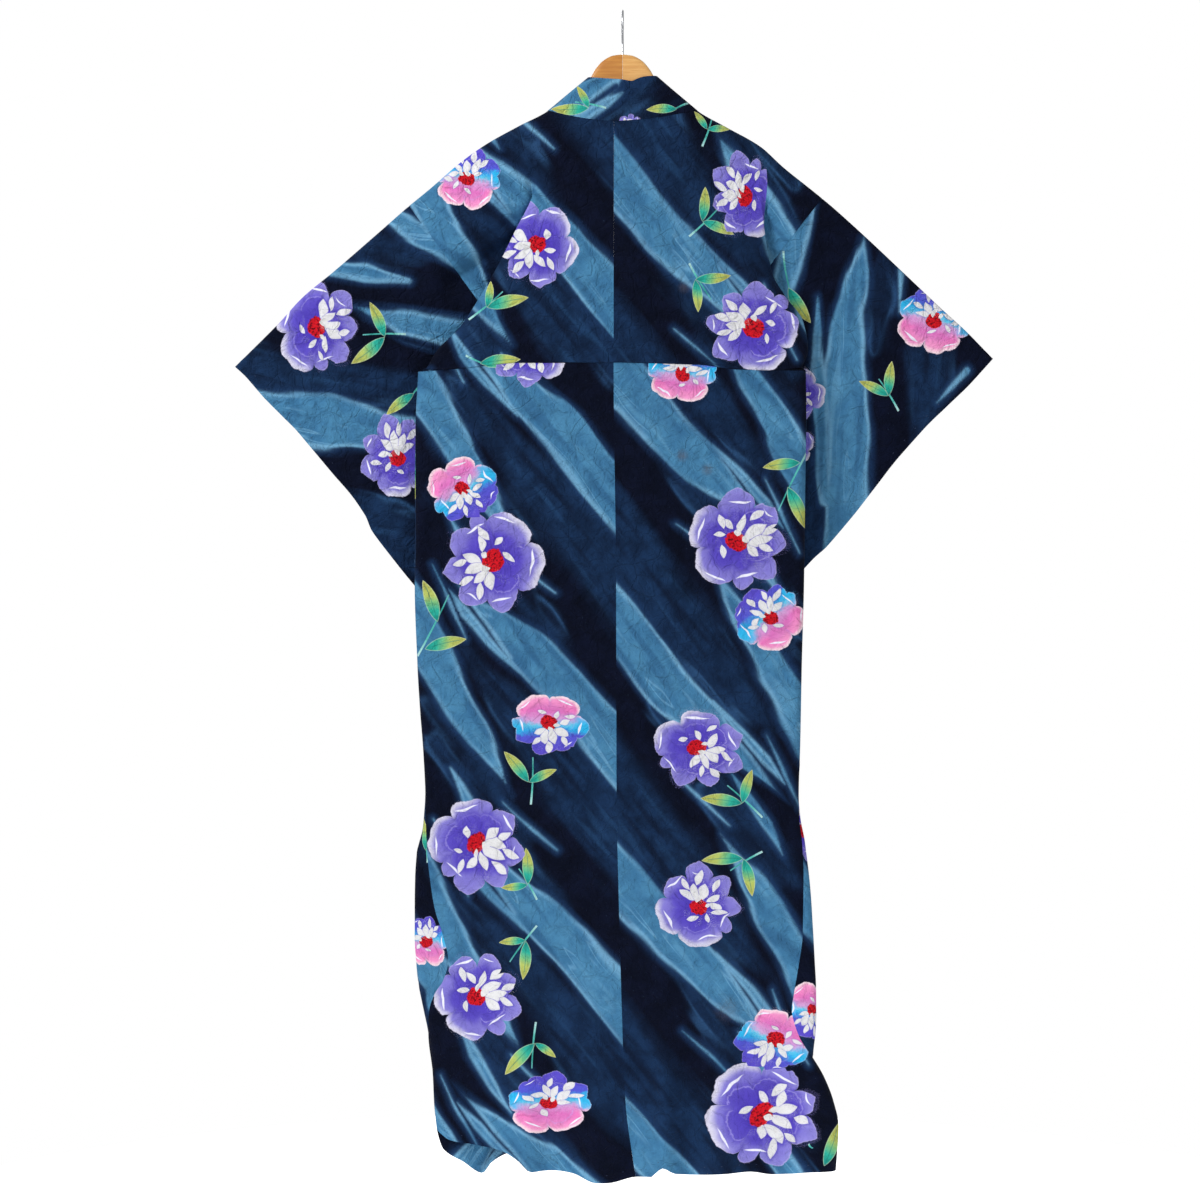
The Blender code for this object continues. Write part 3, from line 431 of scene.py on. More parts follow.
# The outline of the sleeves' open ends, as how far each stands out from a straight line
CUFF_BOW = {
    "left": table(
        "share out",
        [
            (0, 0), (0.05, -3), (0.115, -3.6), (0.2, -7), (0.27, -9.8), (0.42, -10), (0.5, -11),
            (0.58, -7.8), (0.636, -0.5), (0.7, 1), (0.81, 2), (1, 0),
        ],
    ),
    "right": table(
        "share out",
        [
            (0, 0), (0.09, 0), (0.19, -3), (0.29, -6), (0.4, -5.5), (0.515, -1.5), (0.63, 2.5),
            (0.74, 3.8), (0.8, 1), (1, 0),
        ],
    ),
}
SLEEVE_CORNERS = {
    "left": table("reach drop", [(310.3, 279.3), (563.3, 512.7), (251.7, 891.0), (21.2, 676.2)]),
    "right": table("reach drop", [(290.0, 268.0), (538.7, 501.0), (211.4, 865.6), (-8.9, 652.0)]),
}

# The top and the bottom of the wooden hanger, by reach
HANGER = table(
    "reach top bottom",
    [
        (0, 61, 116), (13, 62.5, 116), (28, 70, 117), (39, 82, 119), (49, 98.5, 122), (60, 108, 127),
        (80, 125, 141), (110, 149.5, 162), (150, 170.5, 184), (200, 198, 218), (212, 206, 228),
        (222, 219, 231),
    ],
)

# The path of the hook's wire, from the wood up to its bend
HOOK_PATH = table("y drop", [(0, 61.3), (0, 52), (-1.2, 44), (-4.5, 37)])


# Flowers: centre, half width, half height, the way that their pale petals face, kind and seed.
# Kind 1 is violet, kind 2 is pink, blue and violet.
FLOWERS = {
    "left_above": [
        (537, 245, 43, 45, 15, 1, 1),
    ],
    "left_strip": [
        (467, 178, 36, 34, -100, 2, 2),
    ],
    "left_below": [
        (529, 348, 40, 40, 5, 1, 3), (463, 489, 37, 34, 130, 2, 4), (493, 561, 52, 52, 25, 1, 5),
        (549, 723, 41, 33, 90, 2, 6), (477, 843, 48, 49, 135, 1, 7), (477, 995, 46, 46, 215, 1, 8),
        (549, 1102, 43, 32, -90, 2, 9),
    ],
    "right_above": [
        (745, 196, 36, 46, -20, 1, 10), (753, 328, 50, 45, -40, 1, 11),
    ],
    "right_strip": [],
    "right_below": [
        (682, 374, 38, 31, -100, 2, 12), (737, 542, 52, 51, 190, 1, 13), (770, 617, 39, 35, -45, 2, 14),
        (697, 748, 47, 41, 120, 1, 15), (698, 905, 44, 41, 235, 1, 16), (774, 1039, 41, 35, 60, 2, 17),
        (763, 1113, 60, 54, 165, 1, 18),
    ],
    "left_sleeve": [
        (317, 327, 42, 48, 190, 1, 19), (396, 456, 38, 42, -60, 1, 20),
    ],
    "right_sleeve": [
        (935, 319, 40, 36, -110, 2, 21), (799, 393, 28, 28, 30, 1, 22), (795, 442, 22, 22, -30, 1, 23),
    ],
    "left_sleeve_under": [
        (330, 300, 44, 48, 60, 1, 24), (400, 370, 40, 34, 120, 2, 25), (385, 480, 42, 44, -70, 1, 26),
        (440, 300, 40, 36, 200, 2, 27),
    ],
    "right_sleeve_under": [
        (905, 300, 42, 46, 130, 1, 28), (870, 400, 40, 34, -60, 2, 29), (800, 330, 44, 44, 20, 1, 30),
        (840, 480, 38, 36, 80, 2, 31),
    ],
    "left_front": [
        (423, 940, 28, 27, -95, 2, 32), (330, 190, 46, 44, 20, 1, 33), (385, 330, 40, 34, -60, 2, 34),
        (310, 430, 48, 46, 160, 1, 35), (375, 560, 40, 33, 90, 2, 36), (300, 690, 48, 47, -130, 1, 37),
        (380, 800, 44, 44, 40, 1, 38), (300, 900, 40, 34, -80, 2, 39), (345, 1060, 48, 46, 120, 1, 40),
        (200, 760, 46, 44, 70, 1, 55), (215, 960, 40, 34, 100, 2, 56), (190, 1090, 44, 42, -20, 1, 57),
        (200, 560, 40, 34, -110, 2, 58),
    ],
    "right_front": [
        (812, 1010, 30, 30, 75, 2, 41), (806, 830, 34, 32, 190, 1, 42), (900, 190, 46, 44, 150, 1, 43),
        (850, 320, 40, 34, -120, 2, 44), (925, 430, 48, 46, 30, 1, 45), (860, 560, 40, 33, 90, 2, 46),
        (935, 690, 48, 47, -40, 1, 47), (880, 900, 40, 34, -80, 2, 48), (925, 1060, 48, 46, 60, 1, 49),
        (1030, 760, 46, 44, 120, 1, 50), (1020, 960, 40, 34, 80, 2, 51), (1035, 1100, 44, 42, 200, 1, 52),
        (1030, 560, 40, 34, -70, 2, 53),
    ],
    "collar_back": [(630, 134, 17, 20, 0, 1, 43)],
    "collar_front": [
        (560, 330, 40, 34, 110, 2, 60), (690, 420, 44, 42, -30, 1, 61), (610, 560, 42, 42, 160, 1, 62),
        (640, 250, 40, 34, 60, 2, 63),
    ],
}

# Sprigs: foot, fork, the tips of the two leaves and the end of the bud's stem
SPRIGS = {
    "left_above": [
        (469, 320, 487, 308, 491, 281, 529, 298, 503, 292),
        (466, 356, 480, 364, 481, 364, 521, 360, 490, 366),
    ],
    "left_strip": [],
    "left_below": [
        (462, 352, 481, 365, 482, 366, 521, 361, 490, 368),
        (418, 656, 438, 622, 423, 580, 438, 623, 449, 595),
        (418, 656, 425, 649, 425, 650, 467, 639, 449, 595),
        (531, 804, 529, 782, 504, 751, 557, 769, 533, 757),
        (537, 899, 528, 884, 526, 847, 501, 887, 519, 868),
        (537, 925, 526, 940, 499, 942, 523, 979, 510, 961),
        (536, 1021, 535, 1042, 505, 1074, 556, 1057, 532, 1067),
    ],
    "right_above": [
        (689, 237, 702, 222, 705, 187, 734, 235, 719, 208),
        (689, 264, 695, 280, 731, 276, 698, 313, 711, 300),
        (702, 147, 707, 130, 694, 112, 731, 129, 712, 118),
    ],
    "right_strip": [
        (784, 250, 789, 286, 812, 322, 790, 287, 791, 290),
    ],
    "right_below": [
        (808, 450, 800, 463, 762, 468, 800, 464, 778, 511),
        (808, 450, 787, 487, 787, 488, 805, 529, 778, 511),
        (762, 817, 742, 803, 700, 798, 752, 769, 727, 785),
        (762, 851, 743, 858, 701, 860, 752, 896, 730, 870),
        (808, 1142, 823, 1164, 838, 1122, 824, 1165, 812, 1146),
    ],
    "left_sleeve": [
        (405, 333, 384, 336, 369, 301, 350, 363, 362, 334),
        (420, 384, 413, 392, 385, 414, 414, 391, 410, 396),
    ],
    "right_sleeve": [
        (784, 250, 789, 286, 812, 322, 790, 287, 791, 290),
        (900, 410, 890, 395, 860, 380, 893, 360, 880, 378),
    ],
    "left_sleeve_under": [
        (360, 420, 350, 405, 320, 400, 352, 365, 340, 385),
        (450, 420, 440, 405, 412, 402, 445, 365, 432, 385),
        (380, 260, 392, 270, 420, 262, 395, 305, 408, 285),
    ],
    "right_sleeve_under": [
        (930, 400, 918, 388, 885, 385, 922, 350, 905, 372),
        (870, 250, 858, 262, 828, 256, 860, 300, 845, 280),
        (800, 420, 812, 432, 842, 428, 810, 470, 828, 448),
    ],
    "left_front": [
        (428, 862, 426, 850, 422, 818, 430, 851, 425, 840),
        (350, 260, 345, 245, 318, 232, 360, 210, 342, 225),
        (300, 350, 308, 335, 285, 312, 335, 320, 312, 315),
        (420, 450, 410, 462, 380, 455, 415, 500, 398, 480),
        (330, 620, 335, 605, 312, 580, 362, 590, 338, 585),
        (420, 700, 408, 690, 380, 700, 400, 655, 392, 672),
        (320, 980, 328, 968, 305, 940, 355, 950, 332, 948),
        (410, 1120, 400, 1105, 372, 1110, 402, 1070, 390, 1090),
        (230, 860, 238, 848, 215, 820, 265, 830, 242, 828),
        (240, 660, 232, 648, 205, 650, 236, 612, 225, 630),
    ],
    "right_front": [
        (870, 260, 875, 245, 902, 232, 860, 210, 878, 225),
        (920, 350, 912, 335, 935, 312, 885, 320, 908, 315),
        (830, 450, 840, 462, 870, 455, 835, 500, 852, 480),
        (890, 620, 885, 605, 908, 580, 858, 590, 882, 585),
        (900, 800, 892, 788, 915, 760, 865, 770, 888, 768),
        (850, 1120, 860, 1105, 888, 1110, 858, 1070, 870, 1090),
        (990, 860, 982, 848, 1005, 820, 955, 830, 978, 828),
        (980, 660, 988, 648, 1015, 650, 984, 612, 995, 630),
    ],
    "collar_back": [
        (606, 109, 589, 109, 577, 87, 551, 110, 575, 103),
        (688, 104, 677, 110, 646, 111, 678, 111, 672, 112),
        (700, 146, 708, 130, 695, 112, 709, 129, 716, 122),
    ],
    "collar_front": [
        (600, 420, 606, 405, 580, 390, 625, 380, 610, 388),
        (650, 640, 642, 625, 668, 605, 620, 600, 640, 608),
    ],
}

# Creases pressed in by folding and storage, as lines of the view: ends, width and height
CREASES = {
    "left_above": [
        (520, 130, 500, 350, 5, 0.5), (560, 150, 606, 200, 3, -0.4), (470, 330, 540, 352, 4, 0.6),
        (590, 230, 556, 300, 3, 0.4), (500, 200, 560, 216, 3, -0.4), (548, 300, 604, 340, 3, 0.5),
    ],
    "right_above": [
        (640, 150, 690, 215, 3, 0.4), (660, 260, 730, 300, 3, -0.4), (700, 160, 706, 350, 5, 0.5),
        (625, 200, 655, 330, 4, -0.5), (720, 240, 790, 262, 3, 0.5), (640, 330, 700, 352, 3, 0.4),
    ],
    "left_below": [
        (526, 655, 560, 690, 2.2, 0.7), (530, 694, 562, 656, 2.2, 0.7), (420, 430, 500, 455, 3, 0.5),
        (440, 400, 430, 560, 5, -0.6), (560, 440, 600, 520, 3, 0.5), (415, 615, 520, 628, 3, 0.5),
        (500, 640, 606, 652, 3, -0.5), (430, 690, 470, 760, 3, 0.5), (566, 560, 600, 640, 3, -0.4),
        (420, 780, 520, 800, 3, 0.6), (500, 800, 606, 812, 2.5, 0.5), (452, 900, 470, 980, 4, -0.5),
        (500, 906, 600, 930, 2.5, 0.6), (556, 930, 590, 990, 3, -0.5), (520, 820, 560, 900, 3, 0.5),
        (440, 1040, 520, 1060, 3, 0.6), (580, 1020, 606, 1120, 4, 0.6), (440, 1100, 480, 1150, 3, -0.6),
    ],
    "right_below": [
        (630, 420, 690, 500, 3, 0.5), (650, 470, 720, 440, 2.5, 0.4), (700, 640, 760, 700, 3, -0.5),
        (740, 420, 800, 470, 3, 0.5), (630, 560, 700, 600, 3, 0.4), (640, 640, 652, 760, 5, -0.6),
        (660, 780, 800, 806, 3, 0.6), (630, 820, 690, 860, 2.5, -0.5), (720, 920, 800, 935, 3, 0.6),
        (640, 960, 700, 1010, 3, 0.5), (662, 1040, 700, 1160, 4, 0.9), (720, 960, 742, 1020, 3, -0.6),
        (770, 700, 800, 780, 3, 0.5), (640, 890, 660, 960, 3, 0.5), (700, 1060, 790, 1090, 3, -0.5),
    ],
    "left_sleeve": [
        (412, 240, 384, 420, 4, -0.8), (300, 385, 400, 360, 3, 0.6), (285, 420, 350, 400, 3, 0.6),
        (330, 300, 420, 290, 3, -0.5), (320, 440, 380, 500, 3, 0.6), (350, 420, 358, 460, 2.5, 0.5),
        (400, 300, 440, 330, 3, 0.6), (270, 380, 300, 400, 3, -0.6),
    ],
    "right_sleeve": [
        (800, 205, 870, 256, 3, 0.7), (840, 300, 900, 345, 3, 0.6), (860, 380, 905, 450, 3, -0.7),
        (880, 405, 898, 470, 3, 0.7), (820, 470, 870, 500, 3, 0.5), (900, 260, 985, 355, 3, 0.5),
        (930, 370, 980, 360, 3, -0.6), (850, 280, 846, 420, 4, 0.6), (880, 330, 960, 420, 3, 0.5),
    ],
}
PLAIN_CREASES = [
    (0.12, 0.08, 0.3, 0.2, 0.5), (0.7, 0.1, 0.5, 0.3, -0.5), (0.2, 0.35, 0.6, 0.4, 0.6),
    (0.8, 0.3, 0.75, 0.6, -0.5),
    (0.1, 0.55, 0.4, 0.5, 0.5), (0.35, 0.62, 0.7, 0.7, 0.6), (0.2, 0.7, 0.25, 0.9, -0.6),
    (0.6, 0.78, 0.9, 0.84, 0.5),
    (0.45, 0.86, 0.7, 0.97, 0.6), (0.85, 0.7, 0.6, 0.62, -0.4),
]

# Old marks on the cloth: centre, radius and strength
STAINS = [
    (682, 456, 8, 0.75), (707, 470, 9, 0.6), (684, 288, 9, 0.6), (728, 1008, 22, 0.5), (470, 880, 6, 0.2),
]

# The dyed bands of half a back, in pixels from the middle seam and down one repeat. Each is a
# line of points with half widths: a light band, a dark cut in it, a thin light line or a middle tone
REPEAT = 255.0
BANDS = [
    ("light", (-25, 11, 25), (0, 41, 25), (50, 101, 22), (90, 138, 20), (118, 165, 14), (150, 190, 7),
     (176, 216, 0)),
    ("light", (102, -4, 0), (120, 24, 6), (137, 50, 12), (153, 78, 15), (172, 115, 18), (196, 160, 20),
     (225, 210, 20)),
    ("cut", (106, 130, 0), (122, 148, 4), (138, 168, 5), (160, 196, 8), (184, 228, 12)),
    ("cut", (58, 60, 0), (74, 78, 1.6), (96, 100, 3), (118, 116, 4), (140, 130, 4)),
    ("thin", (96, 116, 1.5), (128, 149, 4), (150, 176, 5), (168, 200, 0)),
    ("thin", (114, 190, 0), (130, 214, 4.5), (150, 244, 5.5), (166, 274, 0)),
    ("thin", (60, 194, 0), (84, 216, 1.2), (112, 244, 0)),
    ("thin", (150, 150, 0), (166, 186, 1.5), (184, 226, 0)),
    ("mid", (-25, 180, 36), (0, 212, 37), (60, 286, 30), (120, 360, 14), (166, 410, 0)),
    ("mid", (90, -50, 4), (112, -14, 11), (140, 34, 12), (176, 92, 10)),
    ("mid", (40, 120, 0), (90, 180, 9), (140, 246, 10), (180, 300, 4)),
]
HIDDEN_ROWS = 62.0
RIGHT_FIRST_ROW = 645.0
LEFT_FIRST_ROW = 596.0
FRONT_SHIFT = 165.0
OWN_WOBBLE = np.array([2.0, 4.0])[:, None]
BODY_WOBBLE = np.array([1.5, 4.0])[:, None]
FAR_STROKE = 90.0
BAND_SLOPE = (0.63, 0.777)
FLOW = {
    "left_sleeve": (0.985, 0.17),
    "left_sleeve_under": (0.985, 0.17),
    "right_sleeve": (-0.06, 0.998),
    "right_sleeve_under": (-0.06, 0.998),
    "left_strip": (0.8, 0.6),
    "collar_back": (0.8, -0.6),
}

# The bands of each sleeve and of the collar's back, in the view
OWN_BANDS = {
    "left_sleeve": [
        ("light", (230, 412, 24), (325, 422, 27), (420, 432, 12)),
        ("light", (320, 266, 8), (364, 272, 8), (408, 280, 0)),
        ("light", (352, 306, 0), (412, 324, 15), (470, 340, 18)),
        ("light", (380, 210, 8), (425, 236, 13), (470, 262, 13)),
        ("mid", (290, 225, 8), (355, 240, 14), (420, 255, 10)),
        ("mid", (240, 370, 20), (330, 378, 22), (420, 385, 12)),
        ("mid", (340, 500, 12), (380, 530, 24), (420, 560, 24)),
        ("cut", (362, 328, 0), (395, 336, 5), (424, 344, 6), (450, 352, 7)),
    ],
    "right_sleeve": [
        ("light", (866, 228, 0), (861, 268, 8), (849, 310, 15), (846, 364, 21), (849, 425, 22),
         (850, 560, 24)),
        ("light", (818, 296, 0), (819, 340, 5), (821, 400, 8), (828, 500, 7)),
        ("light", (806, 196, 10), (793, 250, 12), (780, 300, 12)),
        ("cut", (846, 262, 3), (834, 304, 5), (825, 336, 4), (821, 358, 0)),
        ("thin", (902, 262, 3), (900, 312, 0)), ("thin", (938, 402, 0), (968, 370, 3)),
        ("mid", (886, 250, 9), (881, 300, 9), (876, 350, 0)),
        ("mid", (935, 330, 20), (930, 385, 18), (925, 440, 10)),
        ("mid", (812, 430, 8), (812, 515, 14), (812, 580, 14)),
    ],
    "collar_back": [
        ("light", (552, 122, 12), (588, 94, 12), (612, 80, 8), (630, 72, 0)),
        ("light", (560, 128, 0), (584, 117, 6), (606, 104, 4), (622, 94, 0)),
        ("cut", (576, 116, 0), (594, 103, 3.5), (616, 88, 5)),
        ("mid", (578, 132, 4), (620, 96, 16), (652, 74, 18), (680, 60, 14)),
        ("mid", (640, 124, 0), (672, 104, 3), (704, 84, 4)),
    ],
}


# The small pale petals by the heart of a flower, in its own frame: distance from the heart,
# direction, lean, half length and half width
FANS = [
    (0.35, -60, -14, 0.19, 0.100), (0.38, -29, 8, 0.23, 0.112), (0.37, 3, -6, 0.23, 0.115),
    (0.38, 36, 10, 0.21, 0.104), (0.62, -44, -14, 0.19, 0.084), (0.68, -14, 10, 0.20, 0.088),
    (0.65, 19, -10, 0.19, 0.086), (0.38, 74, 30, 0.18, 0.088), (0.55, 96, -20, 0.16, 0.074),
    (0.36, 128, 26, 0.14, 0.070), (0.34, 190, 50, 0.13, 0.062),
]
NEAR_PETALS = [(0.18, -12, 20, 0.11, 0.074), (0.20, 62, -10, 0.09, 0.06)]

# The pale strokes along the petals' edges: distance, direction, half angle and thickness
ARC_MARKS = [
    (0.76, 1.35, 0.30, 0.032), (0.68, -1.5, 0.34, 0.03), (0.74, 2.62, 0.36, 0.034),
    (0.80, -2.3, 0.28, 0.028), (0.78, 0.62, 0.2, 0.024),
]



def curve(t, ts, values):
    """A smooth curve through a table's points that never overshoots them."""
    ts, values = np.asarray(ts, float), np.asarray(values, float)
    steps = np.diff(ts)
    slopes = np.diff(values) / steps
    tangents = np.concatenate([slopes[:1], np.zeros(len(ts) - 2), slopes[-1:]])
    same = slopes[:-1] * slopes[1:] > 0
    inner = np.where(same, 2 * slopes[:-1] * slopes[1:] / np.where(same, slopes[:-1] + slopes[1:], 1), 0)
    tangents[1:-1] = inner
    t = np.clip(np.asarray(t, float), ts[0], ts[-1])
    i = np.clip(np.searchsorted(ts, t) - 1, 0, len(steps) - 1)
    s = (t - ts[i]) / steps[i]
    rise = values[i + 1] - values[i]
    return (
        values[i]
        + rise * s * s * (3 - 2 * s)
        + steps[i] * tangents[i] * s * (1 - s) ** 2
        - steps[i] * tangents[i + 1] * s * s * (1 - s)
    )


def ease(t):
    """0 to 1 with flat ends."""
    t = np.clip(t, 0.0, 1.0)
    return t * t * (3 - 2 * t)


def quarter(t):
    """The rise of a quarter circle, 0 to 1."""
    t = np.clip(t, 0.0, 1.0)
    return np.sqrt(1 - (1 - t) ** 2)


def mix(a, b, share):
    return a + (b - a) * share


def shoulder_drop(x):
    """The drop of the shoulder line at X."""
    left = curve(np.abs(x), SHOULDER["reach"], SHOULDER["left"])
    right = curve(np.abs(x), SHOULDER["reach"], SHOULDER["right"])
    return np.where(np.asarray(x) > 0, left, right)


def middle_depth(x, drop):
    """Y half way between back and front: the hanger's arms bow to the front."""
    fade = 1 - ease((drop - BOW_FADE_TOP) / BOW_FADE_DEPTH)
    return -SHOULDER_BOW * np.minimum(np.abs(x) / BOW_REACH, 1) ** 2 * fade


def half_hollow(x, drop):
    """How far a layer stands from the middle, rounding over the shoulder line."""
    end = ease((np.abs(x) - HOLLOW_END_REACH) / (OUTER_HOLLOW_REACH - HOLLOW_END_REACH))
    high = ease((HOLLOW_RETURN_DROP - drop) / HOLLOW_RETURN_DEPTH)
    hollow = mix(HOLLOW, OUTER_HOLLOW, end * high)
    return hollow * quarter((drop - shoulder_drop(x)) / hollow)


def folds(x, drop, swells, hem):
    """The sum of the soft folds at a point."""
    total = np.zeros_like(np.asarray(x, float))
    for at, width, height, top in zip(*swells.values()):
        growth = ease((drop - top) / (hem - top)) ** FOLD_GROWTH
        total = total + height * np.exp(-(((x - at) / width) ** 2)) * growth
    return total


def back_depth(x, drop):
    """Y of the back's cloth where it hangs flat."""
    return middle_depth(x, drop) + half_hollow(x, drop) + folds(x, drop, BACK_FOLDS, BACK_HEM_DROP)


def front_depth(x, drop, side):
    """Y of a front's cloth where it hangs flat. The left front lies over the right one."""
    near = 1 - ease((side * x - FRONT_OVERLAP_START) / (FRONT_OVERLAP_REACH - FRONT_OVERLAP_START))
    below = ease((drop - FRONT_LAYER_TOP) / FRONT_LAYER_DEPTH)
    layer = mix(-HOLLOW, FRONT_LAYER[side], near * below)
    scale = layer / -HOLLOW
    swells = folds(x, drop, FRONT_FOLDS, FRONT_HEM_DROP)
    return middle_depth(x, drop) - half_hollow(x, drop) * scale + swells


def pleat_levels(face, reference, sink, is_back):
    """Y of a body layer's three stretches through the pleat: its face, under it and its strip."""
    strip_layers = BACK_STRIP_LAYERS if is_back else FRONT_STRIP_LAYERS
    under = mix(face, reference - UNDER_LAYERS * LAYER_PITCH, sink)
    strip = mix(face, reference - strip_layers * LAYER_PITCH, sink)
    return face, under, strip


def dive_path(start, end, levels):
    """Reach and Y of a front where it passes under the back's hidden fold."""
    shares = np.linspace(0, 1, DIVE_STEPS + 1)
    return np.stack([mix(start, end, shares), mix(levels[0], levels[2], ease(shares))], axis=1)


def pleat_path(fold, hidden, levels, folded):
    """Reach and Y from the flat part, round the fold, under it and round the hidden fold."""
    face, under, strip = levels
    near, far = (face - under) / 2, (under - strip) / 2
    points = []
    for k in range(TURN_STEPS + 1):
        angle = math.pi * k / TURN_STEPS
        points.append((fold - near + near * math.sin(angle), under + near + near * math.cos(angle)))
    for k in range(1, UNDER_STEPS):
        points.append((mix(fold - near, hidden + far, k / UNDER_STEPS), under))
    for k in range(TURN_STEPS + 1):
        angle = math.pi * k / TURN_STEPS
        points.append((hidden + far - far * math.sin(angle), strip + far + far * math.cos(angle)))
    turned = np.array(points)
    shares = np.linspace(0, 1, len(turned))
    flat = np.stack([mix(fold, hidden, shares), mix(face, strip, ease(shares))], axis=1)
    return mix(flat, turned, folded)


def to_world(x, y, drop):
    """Points in metres from an X, a Y and a drop."""
    return np.stack(np.broadcast_arrays(x, y, -np.asarray(drop, float)), axis=-1) * MM


def trimmed(grid, edges, amount):
    """The grid with the named edges drawn in, which leaves the gap of a seam."""
    grid = grid.copy()
    views = {"top": grid, "first": grid.swapaxes(0, 1), "last": grid[:, ::-1].swapaxes(0, 1)}
    for edge in edges:
        view = views[edge]
        inward = view[1] - view[0]
        length = np.maximum(np.linalg.norm(inward, axis=-1, keepdims=True), 1e-9)
        view[0] += inward / length * amount * MM
    return grid


def rounded_depth(x, drop, is_back):
    """Y of a layer where it only rounds over the shoulder line."""
    facing = 1 if is_back else -1
    return middle_depth(x, drop) + facing * half_hollow(x, drop)


def upper_section(side, share, is_back):
    """The rows of one body layer above the tuck: reach, Y and drop along one section."""
    sign = SIDES[side]
    rows = PLEAT[side]
    at = np.linspace(0, 1, len(rows["fold"]))
    value = {name: float(curve(share, at, column)) for name, column in rows.items()}
    overlap = value["fold"] - value["hidden"]
    tucked = float(ease((overlap - PLEAT_OPENS) / (PLEAT_WHOLE - PLEAT_OPENS)))
    turned = max(value["sink"], tucked)
    folded = tucked if is_back else 0.0
    fold, hidden = value["fold"], value["hidden"]
    inner, inner_drop = inner_edge(side, share, is_back)
    if not is_back:
        passing = float(ease(turned * PLEAT_RATE))
        fold = max(mix(fold, hidden - FRONT_DIVE_START, passing), inner + FRONT_LEAST_FLAT)
        hidden = hidden - FRONT_DIVE_END * passing
    reference = float(front_depth(sign * value["fold"], value["fold_drop"], sign))
    if is_back:
        face = float(back_depth(sign * fold, value["fold_drop"]))
    else:
        face = float(front_depth(sign * fold, value["fold_drop"], sign))
    levels = pleat_levels(face, reference, turned, is_back)
    path = pleat_path(fold, hidden, levels, folded) if is_back else dive_path(fold, hidden, levels)
    first = path[0, 0]
    top_inner = inner_edge(side, 0.0, is_back)[0]
    top_fold = float(rows["fold"][0])
    neck = (NECK_REACH - top_inner) / (top_fold - top_inner) if is_back else 0.5
    outer = np.linspace(0, 1, OUTER_STEPS + 1)[1:-1]
    steps = np.concatenate([neck * NECK_COLUMNS, mix(neck, 1, outer)])
    reach = mix(inner, first, steps)
    drop = mix(inner_drop, value["fold_drop"], steps) + edge_sag(side, steps, share, is_back)
    depth = back_depth(sign * reach, drop) if is_back else front_depth(sign * reach, drop, sign)
    out_steps = np.linspace(0, 1, STRIP_STEPS + 1)[1:]
    path_shares = np.linspace(0, 1, len(path))
    path_drop = mix(value["fold_drop"], value["hidden_drop"], path_shares)
    path_line = mix(rows["fold_drop"][0], rows["hidden_drop"][0], path_shares)
    path_reach = mix(rows["fold"][0], rows["hidden"][0], path_shares)
    path_drop += (shoulder_drop(sign * path_reach) - path_line) * (1 - share) ** SAG_POWER
    strip_reach = mix(path[-1, 0], value["seam"], out_steps)
    strip_drop = mix(value["hidden_drop"], value["seam_drop"], out_steps)
    top_line = mix(rows["hidden_drop"][0], rows["seam_drop"][0], out_steps)
    top_reach = mix(rows["hidden"][0], rows["seam"][0], out_steps)
    strip_drop += (shoulder_drop(sign * top_reach) - top_line) * (1 - share) ** SAG_POWER
    top_round = ease(share * TOP_ROUND_RATE)
    path_round = rounded_depth(sign * path[:, 0], path_drop, is_back)
    path_depth = mix(path_round, path[:, 1], ease(turned * PLEAT_RATE) * top_round)
    strip_round = rounded_depth(sign * strip_reach, strip_drop, is_back)
    strip_depth = mix(strip_round, path[-1, 1], ease(value["sink"] * STRIP_RATE) * top_round)
    strip_depth = mix(path_depth[-1], strip_depth, ease(out_steps * STRIP_SHARE_RATE) if tucked > 0 else 1)
    all_reach = np.concatenate([reach, path[:, 0], strip_reach])
    all_depth = np.concatenate([depth, path_depth, strip_depth])
    all_drop = np.concatenate([drop, path_drop, strip_drop])
    return sign * all_reach, all_depth, all_drop


def inner_edge(side, share, is_back):
    """Reach and drop of the inner edge of a body half above the tuck."""
    sign = SIDES[side]
    if is_back:
        drop = mix(MIDDLE["drop"][0], MIDDLE["drop"][1], share)
        return sign * float(curve(drop, MIDDLE["drop"], MIDDLE["x"])), drop
    drop = mix(COLLAR_TOP_JOIN, TUCK["drop"][3], share)
    return max(float(curve(drop, COLLAR_FRONT["drop"], COLLAR_FRONT["seam"])), OKUMI_SEAM_REACH), drop


def neck_drop(reach, sign):
    """The drop of the back's top edge: the arc of the collar seam, and then the shoulder line."""
    inner, inner_drop = MIDDLE["x"][0] * sign, MIDDLE["drop"][0]
    share = np.clip((reach - inner) / (NECK_REACH - inner), 0, 1)
    arc = mix(inner_drop, shoulder_drop(sign * NECK_REACH), share) + NECK_SAG * share * (1 - share)
    return np.where(reach < NECK_REACH, arc, shoulder_drop(sign * reach))


def edge_sag(side, steps, share, is_back):
    """How far the rows sag from straight lines at the top edge and at the tuck."""
    sign = SIDES[side]
    rows = PLEAT[side]
    inner, inner_drop = inner_edge(side, 0.0, is_back)
    top_reach = mix(inner, rows["fold"][0], steps)
    top = neck_drop(top_reach, sign) if is_back else shoulder_drop(sign * top_reach)
    sag = (top - mix(inner_drop, rows["fold_drop"][0], steps)) * (1 - share) ** SAG_POWER
    if is_back:
        tuck_x = sign * mix(sign * MIDDLE["x"][1], rows["fold"][-1], steps)
        straight = mix(MIDDLE["drop"][1], rows["fold_drop"][-1], steps)
        sag = sag + (curve(tuck_x, TUCK["x"], TUCK["drop"]) - straight) * share**SAG_POWER
    return sag


